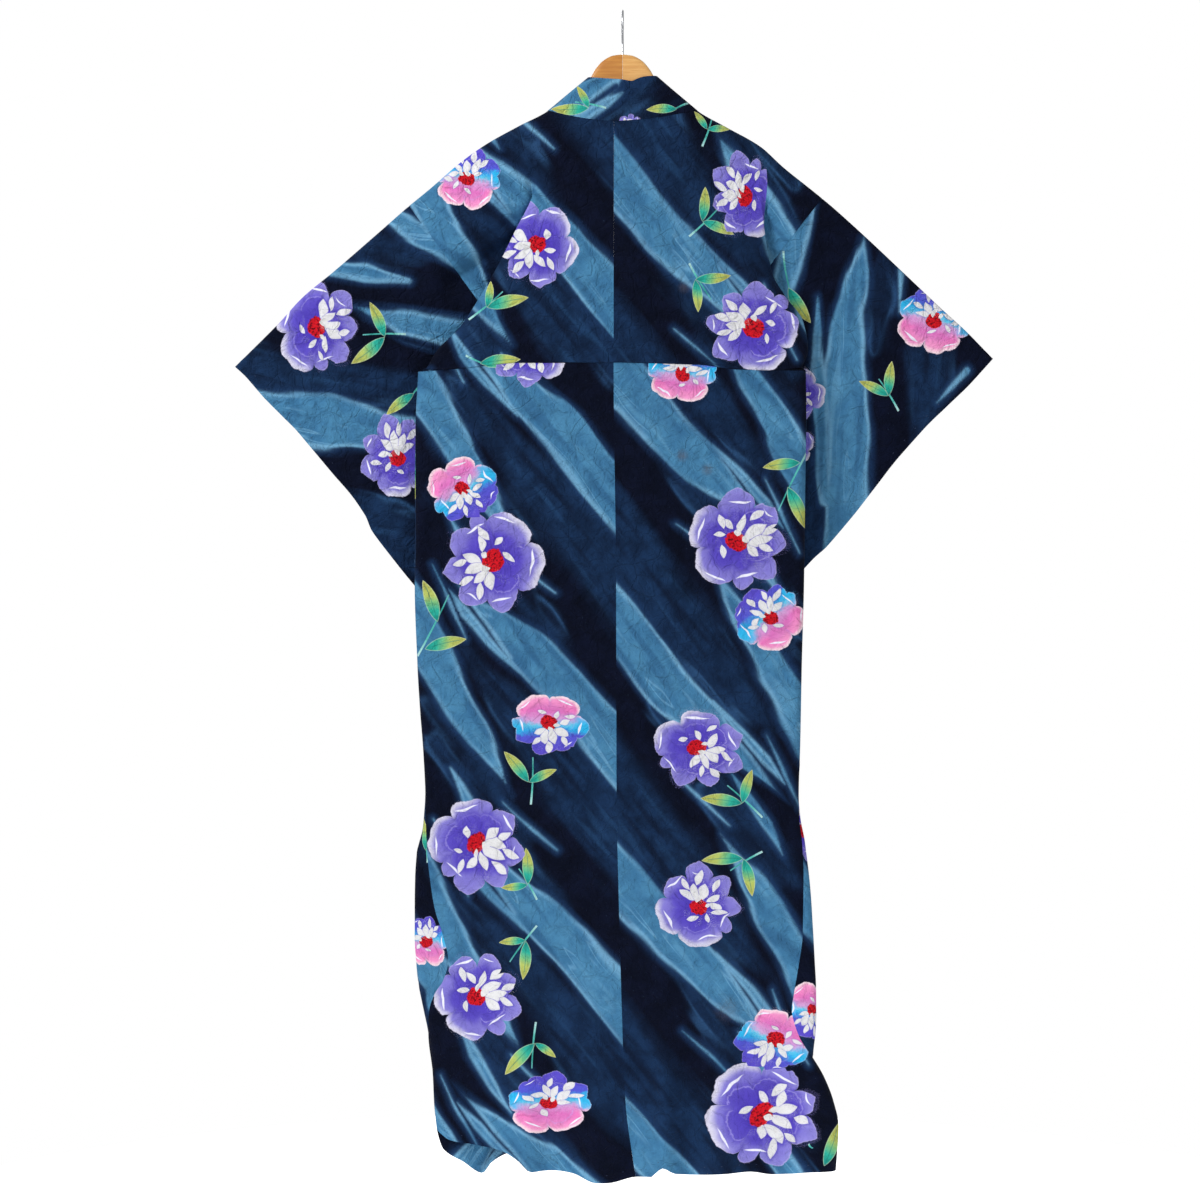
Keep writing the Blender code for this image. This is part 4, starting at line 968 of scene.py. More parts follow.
def lower_rows(side, is_back, columns):
    """The rows of one body layer below the tuck."""
    sign = SIDES[side]
    edges = SIDE[side]
    line = np.linspace(0, 1, columns)
    line[: CENTRE_STEPS + 1] = np.linspace(0, CENTRE_SHARE, CENTRE_STEPS + 1)
    crowded = np.linspace(1, 0, columns - CENTRE_STEPS) ** OUTER_CROWDING
    line[CENTRE_STEPS:] = 1 - (1 - CENTRE_SHARE) * crowded
    middle_x = float(MIDDLE["x"][1])
    made = []
    for share in LOWER_ROWS:
        if is_back:
            hem_x = mix(float(MIDDLE["x"][-1]) * sign, float(edges["seam"][-1]), line)
            top_x = sign * mix(middle_x * sign, edges["seam"][0], line)
            top = curve(top_x, TUCK["x"], TUCK["drop"])
            end = curve(sign * hem_x, HEM["x"], HEM["drop"])
        else:
            hem_x = mix(OKUMI_SEAM_REACH, float(edges["seam"][-1]), line)
            top = mix(TUCK["drop"][3], edges["drop"][0], line)
            end = curve(hem_x, FRONT_HEM["reach"], FRONT_HEM[side])
        drop = mix(top, end, share)
        seam = curve(drop, edges["drop"], edges["seam"])
        edge = curve(drop, edges["drop"], edges["edge"])
        if is_back:
            inner = sign * curve(drop, MIDDLE["drop"], MIDDLE["x"])
            reach = mix(inner, seam, line)
            base = middle_depth(sign * reach, drop)
            rounding = quarter((edge - reach) / SIDE_ROUND)
            depth = base + (back_depth(sign * reach, drop) - base) * rounding
        else:
            reach, depth = front_row(side, drop, seam, edge, line)
        made.append((sign * reach, depth, drop))
    return made


def front_row(side, drop, seam, edge, line):
    """A front's row: flat across, round the side edge and back to the side seam."""
    sign = SIDES[side]
    peek = edge - seam
    flat_width = edge - SIDE_ROUND - OKUMI_SEAM_REACH
    angle = math.pi / 2 + np.arccos(np.clip(1 - peek / SIDE_ROUND, 0, 1))
    angle = np.where(peek < LEAST_PEEK, math.pi / 2, angle)
    total = flat_width + SIDE_ROUND * angle + np.maximum(peek - SIDE_ROUND, 0)
    along = line * total
    turn = np.clip((along - flat_width) / SIDE_ROUND, 0, angle)
    past = np.maximum(along - flat_width - SIDE_ROUND * angle, 0)
    reach = OKUMI_SEAM_REACH + np.minimum(along, flat_width) + SIDE_ROUND * np.sin(turn) - past
    base = middle_depth(sign * reach, drop)
    before = (front_depth(sign * reach, drop, sign) - base) * np.cos(turn)
    after = (back_depth(sign * reach, drop) - base) * -np.cos(turn)
    return reach, base + np.where(turn < math.pi / 2, before, after)


def sleeve_point(side, across, down):
    """Reach and drop of a point of the flat sleeve, by its shares of the width and of the depth."""
    reaches, drops = SLEEVE_CORNERS[side].values()
    top_reach, top_drop = mix(reaches[0], reaches[1], across), mix(drops[0], drops[1], across)
    reach = mix(top_reach, mix(reaches[3], reaches[2], across), down)
    drop = mix(top_drop, mix(drops[3], drops[2], across), down)
    drop = drop + (shoulder_drop(SIDES[side] * top_reach) - top_drop) * (1 - down) ** SAG_POWER
    edge = np.array([reaches[2] - reaches[1], drops[2] - drops[1]])
    edge /= np.linalg.norm(edge)
    out = curve(down, CUFF_BOW[side]["share"], CUFF_BOW[side]["out"]) * across**3
    return reach + edge[1] * out, drop - edge[0] * out


def seam_depth(side, is_back):
    """Y of the body's edge along the sleeve seam, with its distance below the fold."""
    shares = np.linspace(0, PLEAT_ARMHOLE_SHARE, SEAM_SAMPLES)
    ends = [[column[-1] for column in upper_section(side, share, is_back)] for share in shares]
    x, y, drop = np.array(ends).T
    steps = np.hypot(np.diff(x), np.diff(drop))
    return np.concatenate([[0], np.cumsum(steps)]), y


def collar_half(side):
    """The rows of the collar from the middle of the back, over the shoulder, to its end."""
    sign = SIDES[side]
    rows = []
    inner = inner_edge(side, 0.0, True)[0]
    for t in COLLAR_BACK_ROWS:
        seam_reach = mix(inner, NECK_REACH, t)
        seam_drop = float(neck_drop(seam_reach, sign))
        free_x = mix(COLLAR_MIDDLE_X, sign * COLLAR_SHOULDER_REACH, t)
        free_drop = float(curve(free_x, COLLAR_TOP["x"], COLLAR_TOP["drop"]))
        x = mix(sign * seam_reach, free_x, COLLAR_COLUMNS)
        drop = mix(seam_drop, free_drop, COLLAR_COLUMNS)
        seam_y = float(back_depth(sign * seam_reach, seam_drop))
        behind = HOLLOW * quarter((1 - t) * COLLAR_SHOULDER_REACH / HOLLOW)
        free_y = float(middle_depth(free_x, drop[-1]) + behind)
        rows.append((x, mix(seam_y, free_y, COLLAR_COLUMNS), drop))
    for drop_at in COLLAR_FRONT_DROPS:
        turned = float(ease((drop_at - COLLAR_TOP_JOIN) / COLLAR_TURN_DEPTH))
        free_drop = mix(COLLAR_SHOULDER_DROP, drop_at - COLLAR_FREE_LIFT, turned)
        seam_reach = float(curve(drop_at, COLLAR_FRONT["drop"], COLLAR_FRONT["seam"]))
        free_reach = float(curve(free_drop, COLLAR_FRONT["drop"], COLLAR_FRONT["free"]))
        reach = mix(seam_reach, free_reach, COLLAR_COLUMNS)
        drop = mix(drop_at, free_drop, COLLAR_COLUMNS)
        seam_y = front_depth(sign * seam_reach, drop_at, sign)
        away = quarter((drop_at - COLLAR_TOP_JOIN) / HOLLOW)
        free_front = front_depth(sign * free_reach, free_drop + COLLAR_FREE_LEAD, sign)
        free_y = mix(middle_depth(free_reach, free_drop), free_front, away)
        y = mix(seam_y, free_y, COLLAR_COLUMNS)
        rows.append((sign * reach, y, drop))
    return [to_world(*row) for row in rows]


def column_of(x):
    """The column of the view at X."""
    return VIEW_COLUMN - (np.asarray(x) - VIEW_X) / PIXEL


def row_of(drop):
    """The row of the view at this drop."""
    return np.asarray(drop) / PIXEL + VIEW_ROW


def spindles(px, py, rows, kind):
    """Distance inside the nearest band of this kind, in pixels: below 0 outside them all."""
    best = np.full(px.shape, -FAR_STROKE)
    for found, *nodes in rows:
        if found != kind:
            continue
        for (x0, y0, w0), (x1, y1, w1) in zip(nodes, nodes[1:]):
            length = math.hypot(x1 - x0, y1 - y0)
            ux, uy = (x1 - x0) / length, (y1 - y0) / length
            along = (px - x0) * ux + (py - y0) * uy
            across = (px - x0) * -uy + (py - y0) * ux
            past = np.maximum(np.maximum(-along, along - length), 0)
            width = mix(w0, w1, np.clip(along / length, 0, 1))
            best = np.maximum(best, width - np.hypot(across, past))
    return best


def band_depths(px, py, rows):
    """The distances inside the light bands and the middle tones."""
    return np.stack([spindles(px, py, rows, kind) for kind in ("light", "mid")])


def stroke_rows(rows, kind):
    """Each straight length of the cuts or the thin lines: its two ends, each with a half width."""
    made = [(*a, *b) for found, *nodes in rows if found == kind for a, b in zip(nodes, nodes[1:])]
    return np.array(made, float).reshape(-1, 6)


def stroke_fields(corners, rows):
    """The nearest stroke at each face: offset across it, distance past its ends, half width there."""
    found = np.tile(np.array([FAR_STROKE, 0.0, 0.0]), (len(corners), 4, 1))
    if not len(rows):
        return found
    start, stop = rows[:, 0:2], rows[:, 3:5]
    length = np.hypot(*(stop - start).T)
    ux, uy = ((stop - start) / length[:, None]).T
    middle = corners.mean(axis=1)
    offset = middle[:, None] - start[None]
    along = offset[..., 0] * ux + offset[..., 1] * uy
    across = offset[..., 1] * ux - offset[..., 0] * uy
    share = np.clip(along / length, 0, 1)
    past = np.maximum(np.maximum(-along, along - length), 0)
    inside = mix(rows[:, 2], rows[:, 5], share) - np.hypot(across, past)
    near = np.argmax(inside, axis=1)
    ux, uy, length = ux[near, None], uy[near, None], length[near, None]
    offset = corners - start[near][:, None]
    along = offset[..., 0] * ux + offset[..., 1] * uy
    share = np.clip(along / length, 0, 1)
    found[..., 0] = offset[..., 1] * ux - offset[..., 0] * uy
    found[..., 1] = along - np.clip(along, 0, length)
    found[..., 2] = mix(rows[near, 2][:, None], rows[near, 5][:, None], share)
    return found


def soft_noise(px, py, seed, size):
    """A smooth uneven field from -1 to 1 with swells of about this size."""
    total = np.zeros(np.shape(px))
    draw = np.random.default_rng(seed)
    for k in range(SWELL_WAVES):
        angle, phase = draw.uniform(0, 2 * math.pi, 2)
        pitch = size * draw.uniform(0.7, 1.6)
        wave = (px * math.cos(angle) + py * math.sin(angle)) * 2 * math.pi / pitch
        total += np.sin(wave + phase + 1.3 * np.sin(wave * 0.37 + k))
    return total / SWELL_WAVES * 1.6


def uneven(kind, px, py, turn=0):
    """Soft unevenness of this kind, as UNEVEN lists it."""
    size, seed, pitch = UNEVEN[kind]
    return size * soft_noise(px, py, seed + turn, pitch)


def band_place(px, py, part):
    """Where points of a body panel lie in the repeat of its bands: across it, and down it."""
    side = part.split("_")[0]
    seam = column_of(curve((py - VIEW_ROW) * PIXEL, MIDDLE["drop"], MIDDLE["x"]))
    hidden = 0.0 if part.endswith(("above", "strip")) else HIDDEN_ROWS
    if side == "right" or part.startswith("collar"):
        across, down = px - seam, py + hidden - RIGHT_FIRST_ROW
    else:
        across, down = seam - px, LEFT_FIRST_ROW - (py + hidden)
    if "front" in part or "under" in part:
        across = np.abs(across - FRONT_SHIFT)
    across = across + uneven("across", across, down)
    down = down + uneven("down", across, down)
    return across, down


def tones(px, py, part):
    """The dyed pattern at each point: the distances inside its light bands and its middle tones."""
    if part in OWN_BANDS:
        return band_depths(px, py, OWN_BANDS[part]) + uneven("own bands", px, py) * OWN_WOBBLE
    across, down = band_place(px, py, part)
    depths = np.full((2, *px.shape), -FAR_STROKE)
    for turn in (-1, 0, 1, 2):
        at = np.mod(down, REPEAT) + turn * REPEAT
        depths = np.maximum(depths, band_depths(across, at, BANDS))
    return depths + uneven("bands", across, down) * BODY_WOBBLE


def strokes(corners, part, kind):
    """The stroke nearest each face of a panel: its cuts, or its thin lines."""
    if part in OWN_BANDS:
        return stroke_fields(corners, stroke_rows(OWN_BANDS[part], kind))
    across, down = band_place(corners[..., 0], corners[..., 1], part)
    down = down - np.floor(down.mean(axis=1) / REPEAT)[:, None] * REPEAT
    rows = stroke_rows(BANDS, kind)
    moved = [rows + np.array([0, REPEAT, 0, 0, REPEAT, 0]) * turn for turn in (-1, 0, 1)]
    return stroke_fields(np.stack([across, down], axis=-1), np.concatenate(moved))


def flower_frames(rows):
    """Centres, the 2 x 2 matrices into each flower's own frame, and kind and seed."""
    centres, frames, kinds = [], [], []
    for x, y, half_width, half_height, facing, kind, seed in rows:
        turn = math.radians(facing - 180)
        squash = np.diag([1 / half_width, -1 / half_height])
        rotate = np.array([[math.cos(turn), math.sin(turn)], [-math.sin(turn), math.cos(turn)]])
        centres.append((x, y))
        frames.append(rotate @ squash)
        kinds.append(kind + seed / 100)
    return np.array(centres, float), np.array(frames), np.array(kinds)


def spindle_frame(x0, y0, x1, y1, half):
    """The matrix from pixels to (share of the length, offset in half widths)."""
    length = max(math.hypot(x1 - x0, y1 - y0), 1e-6)
    ux, uy = (x1 - x0) / length, (y1 - y0) / length
    return np.array([[ux / length, uy / length], [-uy / half, ux / half]])


def in_frames(corners, starts, frames, codes):
    """Where the corners of each face lie in its own frame, with its code as the third number."""
    at = np.einsum("fij,fcj->fci", frames, corners - starts[:, None])
    return np.concatenate([at, np.broadcast_to(codes[:, None, None], (*at.shape[:2], 1))], axis=2)


def corner_fields(corners, groups):
    """The flower, the two leaves and the stem nearest each face, in their own frames.

    corners is faces x 4 x 2 in pixels, and groups names the chart of each face.
    """
    count = len(corners)
    fields = {}
    for name in ("flower", "leaf_a", "leaf_b", "stem"):
        fields[name] = np.tile(np.array([FAR, FAR, 0.0]), (count, 4, 1))
    for name in ("cut", "thin"):
        fields[name] = np.zeros((count, 4, 3))
    middle = corners.mean(axis=1)
    for group in set(groups.tolist()):
        chosen = np.nonzero(groups == group)[0]
        own = corners[chosen]
        for kind in ("cut", "thin"):
            fields[kind][chosen] = strokes(own, group, kind)
        if FLOWERS[group]:
            centres, frames, kinds = flower_frames(FLOWERS[group])
            offset = middle[chosen, None] - centres[None]
            local = np.einsum("kij,fkj->fki", frames, offset)
            near = np.argmin((local**2).sum(-1), axis=1)
            fields["flower"][chosen] = in_frames(own, centres[near], frames[near], kinds[near])
        if SPRIGS[group]:
            rows = np.array(SPRIGS[group], float)
            foot, fork, tip_a, tip_b, bud = np.split(rows, 5, axis=1)
            heart = (fork + tip_a + tip_b + foot) / 4
            near = np.argmin(((middle[chosen, None] - heart[None]) ** 2).sum(-1), axis=1)
            for name, tip in (("leaf_a", tip_a), ("leaf_b", tip_b)):
                length = np.hypot(*(tip - fork).T)
                halves = np.maximum(LEAF_SHARE * length, LEAST_LEAF_HALF)
                frames = np.array([spindle_frame(*row) for row in np.column_stack([fork, tip, halves])])
                shown = (length > LEAST_LEAF) * 1.0
                fields[name][chosen] = in_frames(own, fork[near], frames[near], shown[near])
            frames = np.array([spindle_frame(*row, STEM_HALF) for row in np.column_stack([foot, bud])])
            fields["stem"][chosen] = in_frames(own, foot[near], frames[near], np.ones(len(near)))
    return fields


def surface_normals(grid, folded_top=False, last_normals=None):
    """The directions square to a grid of points, with square ends as in the part."""
    normal = np.cross(np.gradient(grid, axis=0), np.gradient(grid, axis=1))
    if folded_top:
        normal[0, :, 1] = 0
    if last_normals is not None:
        normal[:, 0, 0] = 0
        known = ~np.isnan(last_normals[:, 0])
        facing = np.sign((normal[known, -1] * last_normals[known]).sum(axis=1, keepdims=True))
        normal[known, -1] = last_normals[known] * facing
    return normal / np.maximum(np.linalg.norm(normal, axis=-1, keepdims=True), 1e-12)


def crease_heights(px, py, rows):
    """The height in millimetres of these creases at each point: a ridge, or a trough below 0."""
    total = np.zeros(px.shape)
    for x0, y0, x1, y1, width, height in rows:
        length = math.hypot(x1 - x0, y1 - y0)
        ux, uy = (x1 - x0) / length, (y1 - y0) / length
        along = ((px - x0) * ux + (py - y0) * uy) / length
        across = (px - x0) * -uy + (py - y0) * ux
        for (size, waves), phase in zip(CREASE_WANDER, (x0, y0)):
            across = across + size * np.sin(along * waves + phase)
        fade = ease(along / CREASE_FADE) * ease((1 - along) / CREASE_FADE)
        uneven_share = 1 - CREASE_UNEVEN + CREASE_UNEVEN * np.sin(along * CREASE_WAVES + x1)
        wide = width * mix(*CREASE_SPREAD, ease(along))
        ridge = np.exp(-((across / wide) ** 2))
        trough = np.exp(-(((across - wide * TROUGH_AWAY) / wide) ** 2))
        total += CREASE_DEPTH * height * fade * uneven_share * (ridge - TROUGH_SHARE * trough)
    return total


def plain_creases(px, py):
    """The same few creases laid over a hidden panel's own box."""
    rows = []
    for x0, y0, x1, y1, height in PLAIN_CREASES:
        start, stop = (
            (mix(px.min(), px.max(), x), mix(py.min(), py.max(), y)) for x, y in ((x0, y0), (x1, y1))
        )
        rows.append((*start, *stop, PLAIN_CREASE_WIDTH, height))
    return rows


def add_attribute(mesh, label, domain, values):
    """Stores three numbers for each point or corner of a mesh."""
    data = mesh.attributes.new(label, "FLOAT_VECTOR", domain).data
    data.foreach_set("vector", values.astype(np.float32).ravel())


def placed(name, data):
    """A new object of the scene that holds this mesh, light or camera."""
    obj = bpy.data.objects.new(name, data)
    bpy.context.scene.collection.objects.link(obj)
    return obj


def cloth_wall(name, grid, thickness, cloth, print_at, groups, height, folded_top=False, last_normals=None):
    """A thin closed cloth on a grid of points, with its creases and the fields of its print."""
    normal = surface_normals(grid, folded_top, last_normals)
    outward = np.sign(normal[..., 1:2].sum()) or 1.0
    grid = grid + normal * outward * height[..., None] * MM
    half = surface_normals(grid, folded_top, last_normals) * thickness * MM / 2
    points = np.concatenate([(grid + half).reshape(-1, 3), (grid - half).reshape(-1, 3)])
    rows, columns = grid.shape[:2]
    count = rows * columns
    index = np.arange(count).reshape(rows, columns)
    a, b = index[:-1, :-1].ravel(), index[:-1, 1:].ravel()
    d, e = index[1:, :-1].ravel(), index[1:, 1:].ravel()
    faces = [np.stack([a, d, e, b], axis=1), np.stack([a, b, e, d], axis=1) + count]
    for start, stop in (
        (index[0, :-1], index[0, 1:]),
        (index[-1, 1:], index[-1, :-1]),
        (index[1:, 0], index[:-1, 0]),
        (index[:-1, -1], index[1:, -1]),
    ):
        faces.append(np.stack([start, stop, stop + count, start + count], axis=1))
    faces = np.concatenate(faces)
    mesh = bpy.data.meshes.new(name)
    mesh.vertices.add(len(points))
    mesh.vertices.foreach_set("co", points.astype(np.float32).ravel())
    mesh.loops.add(faces.size)
    mesh.loops.foreach_set("vertex_index", faces.astype(np.int32).ravel())
    mesh.polygons.add(len(faces))
    mesh.polygons.foreach_set("loop_start", np.arange(0, faces.size, 4, dtype=np.int32))
    mesh.update(calc_edges=True)
    px, py = print_at
    tone, flow = np.zeros((*px.shape, 3)), np.zeros((*px.shape, 3))
    for part in set(groups.ravel().tolist()):
        chosen = groups == part
        tone[chosen, :2] = tones(px[chosen], py[chosen], part).T
        slope_x, slope_y = FLOW.get(part, BAND_SLOPE)
        flow[chosen, 0] = (px[chosen] * slope_x + py[chosen] * slope_y) * PIXEL
        flow[chosen, 1] = (px[chosen] * slope_y - py[chosen] * slope_x) * PIXEL
    stain = np.zeros(px.shape)
    for x, y, radius, strength in STAINS:
        stain = np.maximum(stain, strength * np.exp(-(((px - x) ** 2 + (py - y) ** 2) / radius**2)))
    stain[np.char.find(groups.astype(str), "front") >= 0] = 0
    place = np.stack([px * PIXEL, py * PIXEL, stain], axis=-1)
    for label, values in (("tone", tone), ("cloth", place), ("flow", flow)):
        add_attribute(mesh, label, "POINT", np.stack([values, values]))
    pixels = np.tile(np.stack([px.ravel(), py.ravel()], axis=1), (2, 1))
    inner = groups[:-1, :-1].ravel()
    edges = [groups[0, :-1], groups[-1, :-1], groups[:-1, 0], groups[:-1, -1]]
    for label, values in corner_fields(pixels[faces], np.concatenate([inner, inner, *edges])).items():
        add_attribute(mesh, label, "CORNER", values)
    mesh.shade_smooth()
    mesh.set_sharp_from_angle(angle=math.radians(SHARP_DEGREES))
    mesh.materials.append(cloth)
    return placed(name, mesh)


def feed(tree, value, socket):
    """Sets a node's input to a number, or links it to a value of the shader."""
    if isinstance(value, Value):
        tree.links.new(value.socket, socket)
    else:
        socket.default_value = value


class Value:
    """A number in a shader. Arithmetic on it, and each of MATH_NODES, adds a math node."""

    def __init__(self, tree, socket):
        self.tree, self.socket = tree, socket

    def ramp(self, low, high, to_low=0.0, to_high=1.0):
        """A smooth step from low to high."""
        node = self.tree.nodes.new("ShaderNodeMapRange")
        node.interpolation_type = "SMOOTHSTEP"
        self.tree.links.new(self.socket, node.inputs["Value"])
        set_inputs(node, {"From Min": low, "From Max": high, "To Min": to_low, "To Max": to_high})
        return Value(self.tree, node.outputs["Result"])


def math_method(kind, swapped=False):
    """A method of Value that adds this math node, with the other number first where swapped."""

    def method(value, *others):
        node = value.tree.nodes.new("ShaderNodeMath")
        node.operation = kind
        numbers = (*others, value) if swapped else (value, *others)
        for number, socket in zip(numbers, node.inputs):
            feed(value.tree, number, socket)
        return Value(value.tree, node.outputs[0])

    return method


for name_of_method, kind_of_node in MATH_NODES.items():
    setattr(Value, name_of_method, math_method(kind_of_node, name_of_method == "__rsub__"))


def set_inputs(node, values):
    """Sets the inputs of a node from a dict of their labels."""
    for label, value in values.items():
        node.inputs[label].default_value = value


def field(tree, name):
    """The three numbers of a named attribute."""
    node = tree.nodes.new("ShaderNodeAttribute")
    node.attribute_name = name
    split = tree.nodes.new("ShaderNodeSeparateXYZ")
    tree.links.new(node.outputs["Vector"], split.inputs[0])
    return [Value(tree, out) for out in split.outputs]


def vector(tree, x, y, z=0.0):
    """A point made of three values."""
    node = tree.nodes.new("ShaderNodeCombineXYZ")
    for value, socket in zip((x, y, z), node.inputs):
        feed(tree, value, socket)
    return node.outputs[0]


def noise(tree, at, scale, detail=2.0, roughness=0.5, distortion=0.0):
    """Smooth noise from 0 to 1 at a point."""
    node = tree.nodes.new("ShaderNodeTexNoise")
    tree.links.new(at, node.inputs["Vector"])
    set_inputs(node, {"Scale": scale, "Detail": detail, "Roughness": roughness, "Distortion": distortion})
    return Value(tree, node.outputs["Fac"])


def draw(tree, at):
    """A random number from 0 to 1 that is the same all over each place."""
    node = tree.nodes.new("ShaderNodeTexWhiteNoise")
    node.noise_dimensions = "3D"
    tree.links.new(at, node.inputs["Vector"])
    return Value(tree, node.outputs["Value"])


def linear(colour):
    """Scene-linear numbers for a colour written as 0 to 255."""
    return tuple(c / 3294.6 if c <= 10.31 else ((c / 255 + 0.055) / 1.055) ** 2.4 for c in colour)


def colours(tree, value, stops):
    """The colour of this value on a ramp with these stops."""
    node = tree.nodes.new("ShaderNodeValToRGB")
    tree.links.new(value.socket, node.inputs[0])
    ramp = node.color_ramp
    while len(ramp.elements) < len(stops):
        ramp.elements.new(0.5)
    for element, (place, colour) in zip(ramp.elements, stops):
        element.position = place
        element.color = (*linear(colour), 1.0)
    return node.outputs[0]


def blend_in(tree, under, over, share):
    """The colour under, with over laid on it by share."""
    node = tree.nodes.new("ShaderNodeMix")
    node.data_type = "RGBA"
    feed(tree, share, node.inputs["Factor"])
    for value, place in ((under, 6), (over, 7)):
        if isinstance(value, tuple):
            node.inputs[place].default_value = (*linear(value), 1.0)
        else:
            tree.links.new(value, node.inputs[place])
    return node.outputs[2]


def new_material(name):
    """A new material, its node tree and its shader node."""
    made = bpy.data.materials.new(name)
    made.use_nodes = True
    return made, made.node_tree, made.node_tree.nodes["Principled BSDF"]


def add_bump(tree, shader, height, strength, distance):
    """Relief on a surface, from a height in units of this distance."""
    bump = tree.nodes.new("ShaderNodeBump")
    set_inputs(bump, {"Strength": strength, "Distance": distance})
    tree.links.new(height.socket, bump.inputs["Height"])
    tree.links.new(bump.outputs[0], shader.inputs["Normal"])


def small_petals(tree, x, y, seed, rows):
    """How far a point is inside the nearest small petal, and inside the next one that overlaps it.

    Each flower turns and jogs its petals its own way.
    """
    best, second = None, None
    for place, (away, toward, lean, half_length, half_width) in enumerate(rows):
        chance = draw(tree, vector(tree, seed * 100, place + 0.5))
        turn = math.radians(toward)
        tilt = math.radians(toward + lean)
        size = chance * 0.3 + 0.84
        offset_x = x - (chance * 0.08 - 0.04 + away * math.cos(turn))
        offset_y = y - (chance * -0.08 + 0.04 + away * math.sin(turn))
        cosine, sine = math.cos(tilt), math.sin(tilt)
        along = (offset_x * (cosine / half_length) + offset_y * (sine / half_length)) / size
        across = (offset_y * (cosine / half_width) - offset_x * (sine / half_width)) / size
        inside = 1 - along * along - across.size()
        if best is None:
            best, second = inside, inside * 0 - FAR
        else:
            second = second.most(best.least(inside))
            best = best.most(inside)
    return best, second


def arc_mark(angle, radius, at, middle, half_angle, thick):
    """A pale brush stroke that follows a petal's edge."""
    turn = ((angle - middle).cosine() * -1 + 1).most(0.0) * 2
    share = turn / (half_angle * half_angle)
    return (1 - share) * thick - (radius - at - share * 0.05).size()


